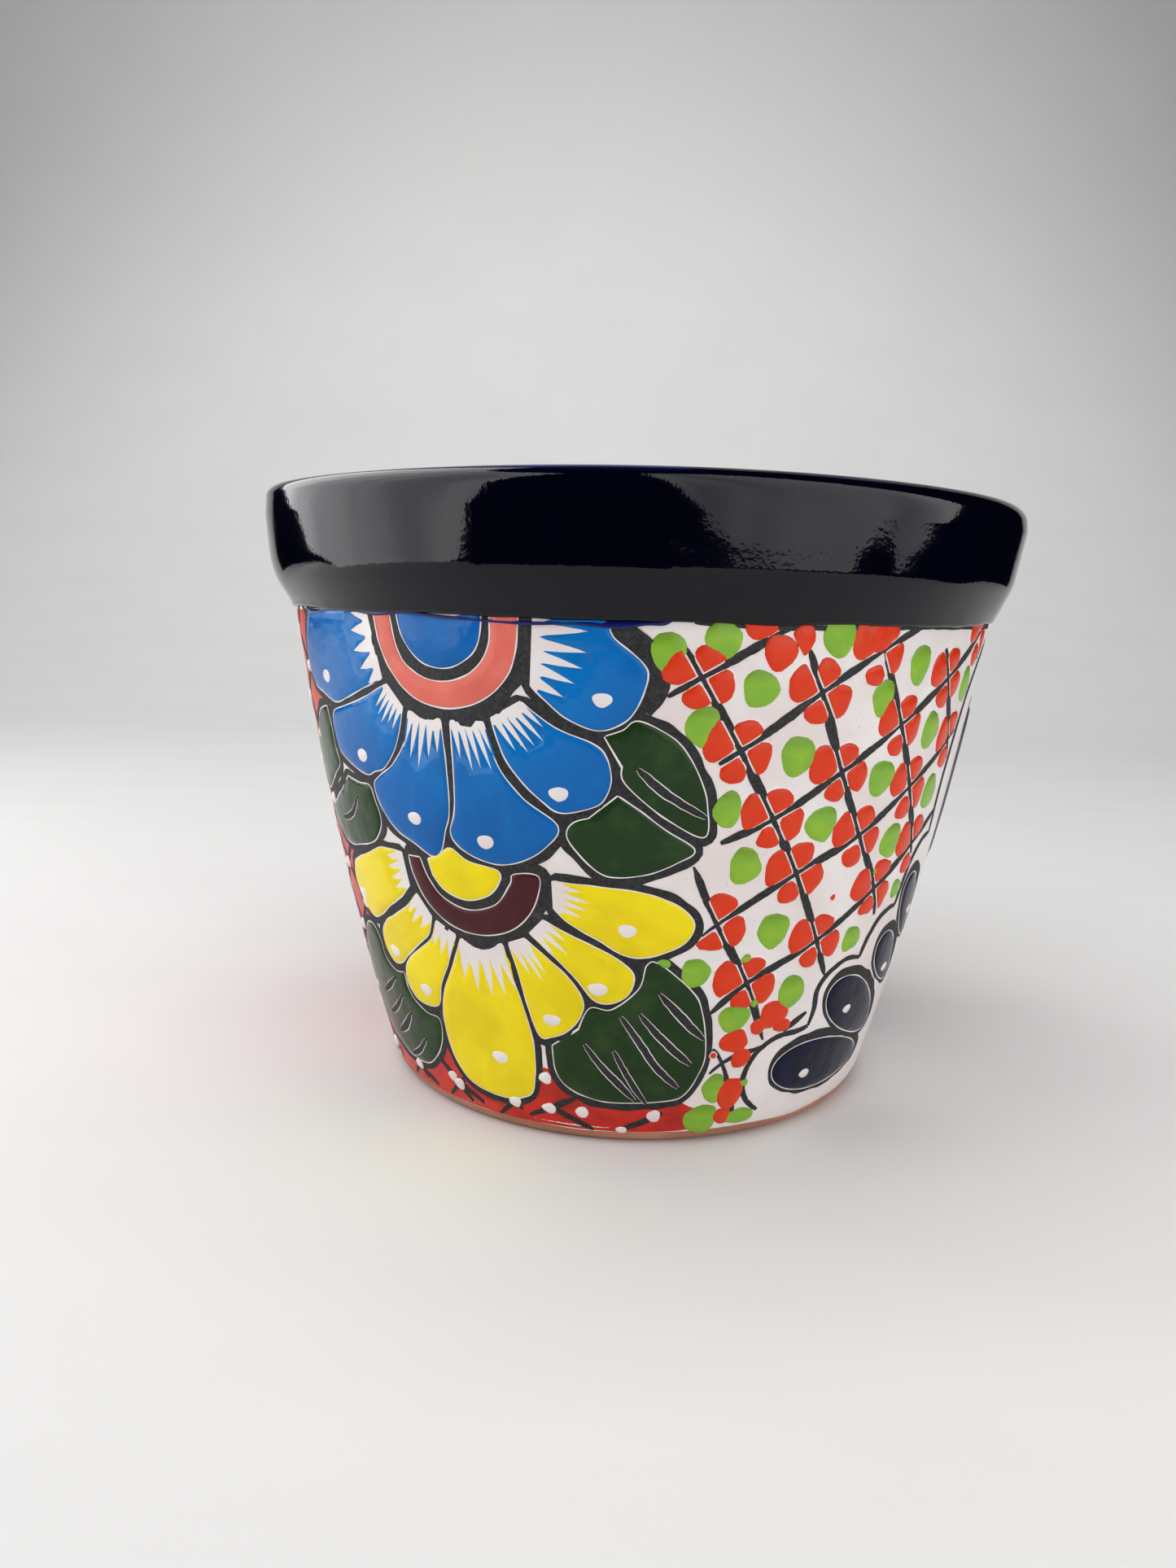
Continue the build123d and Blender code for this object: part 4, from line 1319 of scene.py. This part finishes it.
def set_dabs(name, marks, glass, rise, grown_by=0.0, raggedness=0.5, slot=None):
    """Sets dabs at (degrees, millimetres, width, height, turn, lines to stay clear of), on both sides of the pot.
    A line is a point on it, its unit normal towards the dab, and how far off the dab stays."""
    wall = Wall()
    data = bpy.data.meshes.new(name)
    spots, wide, tall, turns, clear = [], [], [], [], {"clear_of_a": [], "clear_of_b": []}
    for angle, height, width, depth, turn, *lines in marks:
        spot = wall.flat([(angle, height)])[0]
        squeeze = wall.middle / wall.radius(spot[1])
        for far, place in enumerate(both_sides([spot])):
            spots.append((place[0][0], place[0][1], 0.0))
            wide.append(width * MM * squeeze)
            tall.append(depth * MM)
            turns.append(math.radians(180 - turn if far else turn))
            for label, line in zip(clear, lines or ((), ())):
                if not line:
                    clear[label].append((0.0, 1.0, -1.0))
                    continue
                on, normal, off = line
                on = both_sides([on])[far][0]
                normal = (-normal[0], normal[1]) if far else normal
                clear[label].append((*normal, on[0] * normal[0] + on[1] * normal[1] + off))
    data.from_pydata(spots, [], [])
    for label, numbers in (("wide", wide), ("tall", tall), ("turn", turns)):
        data.attributes.new(label, "FLOAT", "POINT").data.foreach_set("value", numbers)
    for label, vectors in clear.items():
        data.attributes.new(label, "FLOAT_VECTOR", "POINT").data.foreach_set("vector", np.ravel(vectors))
    values = {
        **wall_values(glass), "Segments": 20, "Dab rise": rise, "Grown by": grown_by, "Raggedness": raggedness * MM,
    }
    piece = bake(new_object(name, data), shared_tree("Dabs on the wall", dab_tree), values)
    settle(piece, slot=slot)


def lattice_crossings():
    """Every crossing of the lattice that lies in its field, as (degrees, millimetres)."""
    wall = Wall()
    field = np.array(wall.flat(LATTICE_FIELD))
    field = grown(field, 1.5 * MM)
    found = []
    for down in range(-1, 10):
        for up in range(-8, 8):
            spot = crossing(down, up)
            if spot[1] < 36 and spot[0] < 34:
                continue  # the brush left these few to the strays
            if inside(np.array(wall.flat([spot])), field)[0] and spot[0] < 66 and 3 < spot[1] < 124:
                found.append((down, up))
    return found


def line_beside(down, up, falling, dab):
    """The lattice line through a crossing, as set_dabs wants it for a dab beside it."""
    ends = [crossing(down + k, up) if falling else crossing(down, up + k) for k in (-1, 1)]
    start, end = (np.array(spot) for spot in Wall().flat(ends))
    on = np.array(Wall().flat([crossing(down, up)])[0])
    run = (end - start) / np.linalg.norm(end - start)
    normal = np.array([-run[1], run[0]])
    if np.dot(dab - on, normal) < 0:
        normal = -normal
    return tuple(on), tuple(normal), sizes().lattice_line * 0.3 + 0.28 * MM


class POT_OT_lattice(bpy.types.Operator):
    """Brushes the lattice and the scallops, and sets the dabs round the crossings and in the meshes."""

    bl_idname = "pot.lattice"
    bl_label = "Lattice and dabs"

    def execute(self, context):
        size, wall, paint = sizes(), Wall(), colours()
        random = np.random.default_rng(size.seed)
        field = np.array(wall.flat(LATTICE_FIELD))
        knots = np.array(wall.flat([crossing(down, up) for down in range(-6, 12) for up in range(-8, 9)]))
        lines = Drawing()
        courses = []
        for up in range(-6, 7):
            steep = [crossing(down, up) for down in range(-6, 12) if crossing(down, up)[1] < 117.0]
            reach = (STEEP_TOP - steep[0][1]) / (steep[0][1] - steep[1][1])
            courses.append([tuple(a + (a - b) * reach for a, b in zip(*steep[:2]))] + steep)
        for down in range(-6, 12):
            courses.append([crossing(down, up) for up in range(-8, 9)])
        number = 0
        for course in courses:
            for run in runs_inside(smooth_line(wall.flat(course), 0.8 * MM), field):
                made = stroke([tuple(point) for point in run[::3]], size.lattice_line, seed=number, taper=0.35,
                              thin_at=knots)
                if made is None:
                    continue
                for turned in both_sides(made):
                    lay(lines, turned, (0.10 + number * 0.0006) * MM)
                    number += 1
        # The collar line is painted shadow under the collar's edge as well as a brushed black line.
        for arc, width in [(arc, 0.85) for arc in SCALLOPS] + [(COLLAR_LINE_AND_SHADOW, 0.75), (PETAL_ARC, 1.9)]:
            made = stroke(wall.flat(arc), size.lattice_line * width, seed=number, taper=0.6)
            for turned in both_sides(made):
                lay(lines, turned, (0.10 + number * 0.0006) * MM)
                number += 1
        wrapped(lines, "lattice_lines", finish("matt_black", black_finish))

        orange, lime = [], []
        for down, up in lattice_crossings():
            angle, height = crossing(down, up)
            degree = math.radians(1) * wall.radius(height * MM) / MM
            for (across, above), width, depth, turn in CROSSING_DABS:
                push = random.uniform(-0.5, 0.5, 2)
                place = (angle + (across + push[0]) / degree, height + above + push[1])
                dab = np.array(wall.flat([place])[0])
                orange.append((*place, width * random.uniform(0.92, 1.15), depth * random.uniform(0.92, 1.15),
                               turn + random.uniform(-20, 20), line_beside(down, up, True, dab),
                               line_beside(down, up, False, dab)))
        cells = self.cell_centres()
        taken = np.array([(mark[0], mark[1]) for mark in STRAY_LIME + STRAY_ORANGE])
        for angle, height in cells:
            if np.min(np.hypot((taken[:, 0] - angle) * 1.4, taken[:, 1] - height)) > 6:
                lime.append((angle + random.uniform(-0.5, 0.5), height + random.uniform(-0.8, 0.8),
                             random.uniform(7.4, 9.0), random.uniform(8.2, 9.8), random.uniform(40, 130)))
        edge = np.array(wall.flat(LATTICE_FIELD))
        orange = [mark for mark in orange if self.fits(mark, edge)] + STRAY_ORANGE
        lime = [mark for mark in lime if self.fits(mark, edge)] + STRAY_LIME
        rim = finish("tin_white", white_finish)
        set_dabs("dab_rims", orange, rim, 0.22 * MM, grown_by=0.38 * MM, raggedness=1.3)
        glass = finish("orange_glass", dab_finish, "orange_glass", paint.orange, (0.72, 0.05, 0.006), 0.25)
        set_dabs("orange_dabs", orange, glass, 0.62 * MM, raggedness=1.3)
        glass = finish("lime_glass", dab_finish, "lime_glass", paint.lime, (0.32, 0.53, 0.03), 0.5)
        set_dabs("lime_dabs", lime, glass, 0.5 * MM, raggedness=1.3)
        return {"FINISHED"}

    def cell_centres(self):
        """The middle of each mesh of the lattice."""
        field = np.array(Wall().flat(LATTICE_FIELD))
        found = []
        for down in range(-2, 10):
            for up in range(-8, 8):
                corners = [crossing(down + a, up + b) for a in (0, 1) for b in (0, 1)]
                angle, height = (sum(corner[k] for corner in corners) / 4 for k in (0, 1))
                spot = np.array(Wall().flat([(angle, height)]))
                if inside(spot, field)[0] and angle < 63 and 4 < height < 123:
                    found.append((angle, height))
        return found

    def fits(self, mark, edge):
        """Whether a dab lies far enough inside the lattice's field."""
        spot = np.array(Wall().flat([mark[:2]]))
        return bool(inside(spot, edge)[0]) and edge_distance(spot, edge)[0] > 1.4 * MM


class POT_OT_red_lattice(bpy.types.Operator):
    """Brushes the black lattice on the red ground, with a white dot on each crossing."""

    bl_idname = "pot.red_lattice"
    bl_label = "Lattice on the red ground"

    def execute(self, context):
        size, wall = sizes(), Wall()
        front = smooth_line(wall.flat(RED_GROUND[1:-1]), 1.2 * MM)
        middle = np.array(wall.flat([(-100, 4), (-100, 131)]))
        front = np.concatenate([front, middle])
        mirrored = far_side(front)
        mirrored[:, 0] -= math.tau * wall.middle
        lines, dots, number = Drawing(), [], 0
        for lean in (1, -1):
            for k in range(-12, 24):
                start = -150
                course = [(start + t * 10, k * 17 + lean * (t * 10 - (-100 - start)) * 1.2) for t in range(14)]
                for field in (front, mirrored):
                    for run in runs_inside(smooth_line(wall.flat(course), 0.8 * MM), field):
                        if len(run) < 8:
                            continue
                        made = stroke([tuple(point) for point in run[::3]], size.lattice_line, seed=number + 300)
                        lay(lines, made, (0.075 + number * 0.0006) * MM)
                        number += 1
        wrapped(lines, "red_ground_lines", finish("matt_black", black_finish))
        for row in range(-14, 16):
            for k in range(-30, 31):
                dots.append((-100 + (17 * k) / 2.4, 17 * row / 2 + (k % 2) * 0.0))
        dots = [(a, z) for a, z in dots if 8 < z < 122 and abs((z / 8.5 + (a + 100) / 7.0833) % 2) < 0.01
                and inside(np.array(wall.flat([(a, z)])), front)[0]
                and edge_distance(np.array(wall.flat([(a, z)])), front)[0] > 2.0 * MM]
        set_dabs("red_ground_dots", [(a, z, 3.4, 3.4, 0.0) for a, z in dots], finish("tin_white", white_finish),
                 0.9 * MM, raggedness=0.8)
        return {"FINISHED"}


class POT_OT_brush_marks(bpy.types.Operator):
    """Sets the white dots on the petals, the veins of the leaves, the strokes at the foot and the cobalt runs."""

    bl_idname = "pot.brush_marks"
    bl_label = "Dots, veins and runs"

    def execute(self, context):
        size, wall = sizes(), Wall()
        white = finish("tin_white", white_finish)
        black = finish("matt_black", black_finish)
        dots = [(*petal[1], 5.6, 4.2, 90.0) for petal in BLUE_PETALS + YELLOW_PETALS]
        dots += [(*petal[4], 4.6, 3.4, 0.0) for petal in FAN_PETALS]
        set_dabs("white_dots", dots, white, 1.05 * MM, raggedness=0.8)
        set_dabs("foot_dots", [(a, z, w, h, t) for a, z, w, h, t in FOOT_DOTS], white, 0.5 * MM, raggedness=0.8)
        veins, cores, marks = Drawing(), Drawing(), Drawing()
        for number, vein in enumerate(VEINS):
            for drawing, width, height in ((veins, 2.3, 0.64), (cores, 1.75, 0.68)):
                made = stroke(wall.flat(vein), width * MM, seed=number + 500, taper=0.35)
                for turned in both_sides(made):
                    lay(drawing, turned, (height + 0.002 * number) * MM, spacing=1.6 * MM)
        for number, mark in enumerate(FOOT_STROKES):
            for turned in both_sides(stroke(wall.flat(mark), 1.8 * MM, seed=number + 600)):
                lay(marks, turned, (0.09 + 0.002 * number) * MM)
        wrapped(veins, "vein_edges", white)
        wrapped(cores, "leaf_veins", black)
        wrapped(marks, "foot_strokes", black)
        runs = Drawing()
        edge = [(-60, 131), (-59, 124.6), (-55, 123.9), (-50, 124.7), (-44, 124.9), (-38, 124.2), (-32, 124.9),
                (-26, 124.3), (-20, 123.9), (-14, 123.6), (-8, 123.9), (-3, 123.4), (1, 124.2), (4, 124.9), (6, 131)]
        for turned in both_sides(closed_line(edge)):
            runs.fill(turned, pillow(0.5 * MM, 0.9 * MM, 0.5 * MM), 2.0 * MM, rows=(0.4 * MM,), top=COLLAR_BOTTOM,
                      uv=flat_uv)
        wrapped(runs, "cobalt_runs", finish("cobalt_runs", cobalt_finish, "cobalt_runs", 0.8), slot="cobalt_glaze")
        return {"FINISHED"}


# Stage ---------------------------------------------------------------------------------------------------------------


def soft_light(name, azimuth, elevation, distance, width, height, watts, target=(0.0, 0.0, 0.08)):
    """A soft rectangular light that looks at the pot or at another target; azimuth in degrees round it from the
    front, right positive. The glaze mirrors the cards and the paper, not the lights."""
    lamp = bpy.data.lights.new(name, "AREA")
    lamp.shape, lamp.size, lamp.size_y, lamp.energy, lamp.color = "RECTANGLE", width, height, watts, (1.0, 1.0, 1.0)
    holder = bpy.data.objects.new(name, lamp)
    turn, rise = math.radians(azimuth), math.radians(elevation)
    away = Vector((math.sin(turn) * math.cos(rise), -math.cos(turn) * math.cos(rise), math.sin(rise)))
    holder.location = Vector(target) + away * distance
    holder.rotation_euler = away.to_track_quat("Z", "Y").to_euler()
    holder.visible_glossy = False
    bpy.context.scene.collection.objects.link(holder)


class POT_OT_stage(bpy.types.Operator):
    """Sets the paper sweep that the pot stands on, the lights and the camera."""

    bl_idname = "pot.stage"
    bl_label = "Stage"

    def execute(self, context):
        scene = context.scene
        self.paper()
        soft_light("left_window", -87, 9, 0.66, 0.64, 0.42, 2.1)
        soft_light("right_window", 38, 10, 0.68, 0.66, 0.42, 1.5)
        soft_light("edge_window", 91, 7, 0.80, 0.30, 0.40, 0.55)
        soft_light("ceiling", -25, 66, 1.3, 1.5, 1.3, 11.0)
        soft_light("backdrop_wash", 0, 48, 1.5, 1.6, 0.7, 11.0, target=(-0.25, 1.4, 0.55))
        # Black cards that only the glaze sees: painted dark reflections of the room round the pot.
        black = finish("black_card", flat_finish, "black_card", (0.002, 0.002, 0.003, 1), 1.0, 0.0)
        left, right = (finish(name, glow_finish, name, glow) for name, glow in (("left_glow", 3.5), ("right_glow", 2.2)))
        self.card("room", 0.52, [(-130, 0.07, 2.6), (-102, 0.05, 2.6), (-90, 0.0, 2.6), (98, 0.0, 2.6),
                                (110, 0.06, 2.6), (134, 0.09, 2.6)], black)
        self.card("low_black_card", 0.43, [(-43, 0.0, 0.12), (8, 0.0, 0.12)], black)
        # Glowing cards that only the glaze sees: painted reflections of the bright surroundings, brighter on the left.
        self.card("left_glowing_card", 0.5, [(-146, 0.45, 1.2), (-134, 0.336, 1.2), (-102, 0.10, 1.2), (-95, 0.06, 1.2),
                                          (-92, 0.0, 1.2), (-51, 0.0, 1.2), (-47.4, 0.031, 1.2), (-44.3, 0.05, 1.2),
                                          (-39.6, 0.23, 1.2), (-38, 0.9, 1.2)], left)
        self.card("right_glowing_card", 0.5, [(3, 1.0, 2.4), (9, 0.29, 2.4), (14.6, 0.052, 2.4), (19, 0.036, 2.4),
                                           (24, 0.023, 2.4), (34, 0.019, 2.4), (52, 0.026, 2.2), (56, 0.030, 2.2),
                                           (57.5, 0.046, 2.2), (61.6, 0.064, 2.0), (66, 0.066, 1.8), (69.0, 0.056, 1.6),
                                           (70.5, 0.042, 1.5), (77.5, 0.074, 1.0), (83.3, 0.10, 0.6),
                                           (93, 0.27, 0.29)], right)
        world = bpy.data.worlds.new("room")
        scene.world = world
        world.use_nodes = True
        world.cycles_visibility.glossy = False
        room = Graph(world.node_tree)
        light = room.add("ShaderNodeBackground", values={"Color": (0.9, 0.93, 1.0, 1), "Strength": 0.24})[0]
        room.add("ShaderNodeOutputWorld", values={0: light})
        scene.view_settings.view_transform = "Standard"
        scene.view_settings.look = "None"
        self.camera()
        return {"FINISHED"}

    def paper(self):
        """A seamless sheet: flat under the pot, and curving up behind it."""
        back, radius, half = 0.7, 0.7, 2.2
        section = [(-1.8, 0.0), (-0.4, 0.0), (back, 0.0)]
        section += [(back + radius * math.sin(a), radius * (1 - math.cos(a))) for a in np.linspace(0, math.pi / 2, 24)[1:]]
        section += [(back + radius, 1.0), (back + radius, 2.2)]
        points = [(x, y, z) for y, z in section for x in (-half, half)]
        faces = [(2 * i, 2 * i + 1, 2 * i + 3, 2 * i + 2) for i in range(len(section) - 1)]
        data = bpy.data.meshes.new("paper")
        data.from_pydata(points, [], faces)
        data.shade_smooth()
        data.materials.append(finish("paper", paper_finish))
        new_object("paper", data)

    def card(self, name, distance, columns, look):
        """A card that stands round the pot and that only the glaze sees, so that it paints a reflection there: black
        cards dark ones, glowing cards bright ones. It is made from its columns: degrees round the pot, and the heights
        that it starts and ends at."""
        outline = np.array(columns)
        turns = np.unique(np.concatenate([outline[:, 0], np.arange(outline[0, 0], outline[-1, 0], 5.0)]))
        low, high = (np.interp(turns, outline[:, 0], outline[:, k]) for k in (1, 2))
        points = []
        for turn, *heights in zip(np.radians(turns), low, high):
            points += [(distance * math.sin(turn), -distance * math.cos(turn), height) for height in heights]
        faces = [(2 * i, 2 * i + 1, 2 * i + 3, 2 * i + 2) for i in range(len(turns) - 1)]
        data = bpy.data.meshes.new(name)
        data.from_pydata(points, [], faces)
        data.materials.append(look)
        card = new_object(name, data)
        card.visible_camera = card.visible_diffuse = card.visible_shadow = False

    def camera(self):
        """The camera, at eye level for a seated sitter."""
        yaw, pitch, roll = -0.0399, 0.1687, 0.0272
        forward = Vector((math.sin(yaw) * math.cos(pitch), math.cos(yaw) * math.cos(pitch), -math.sin(pitch)))
        right = Vector((math.cos(yaw), -math.sin(yaw), 0.0))
        up = right.cross(forward)
        across = right * math.cos(roll) + up * math.sin(roll)
        upright = up * math.cos(roll) - right * math.sin(roll)
        eye = bpy.data.cameras.new("camera")
        eye.sensor_width, eye.lens, eye.clip_start = 36.0, 26.08, 0.01
        holder = bpy.data.objects.new("camera", eye)
        turn = Matrix((across, upright, -forward)).transposed().to_4x4()
        holder.matrix_world = Matrix.Translation((0.0, -0.3210, 0.1308)) @ turn
        bpy.context.scene.collection.objects.link(holder)
        bpy.context.scene.camera = holder


# Add-on --------------------------------------------------------------------------------------------------------------

PIECES = (
    POT_OT_clay, POT_OT_collar, POT_OT_white_coat, POT_OT_red_ground, POT_OT_outlines, POT_OT_enamels, POT_OT_lattice,
    POT_OT_red_lattice, POT_OT_brush_marks, POT_OT_stage,
)


class POT_PT_panel(bpy.types.Panel):
    """The flower pot's pieces, in the order of their making."""

    bl_idname = "POT_PT_panel"
    bl_label = "Flower Pot"
    bl_space_type = "VIEW_3D"
    bl_region_type = "UI"
    bl_category = "Flower Pot"

    def draw(self, context):
        for piece in PIECES:
            self.layout.operator(piece.bl_idname)
        for group in (context.scene.pot_sizes, context.scene.pot_colours):
            box = self.layout.box()
            for name in group.bl_rna.properties.keys():
                if name not in ("rna_type", "name"):
                    box.prop(group, name)


CLASSES = (PotSizes, PotColours, *PIECES, POT_PT_panel)


def register():
    for item in CLASSES:
        bpy.utils.register_class(item)
    bpy.types.Scene.pot_sizes = PointerProperty(type=PotSizes)
    bpy.types.Scene.pot_colours = PointerProperty(type=PotColours)


def unregister():
    del bpy.types.Scene.pot_colours
    del bpy.types.Scene.pot_sizes
    for item in reversed(CLASSES):
        bpy.utils.unregister_class(item)


def main():
    """Makes the pot and its stage."""
    register()
    for piece in PIECES:
        group, name = piece.bl_idname.split(".")
        getattr(getattr(bpy.ops, group), name)()
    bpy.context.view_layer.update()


if __name__ == "__main__":
    main()
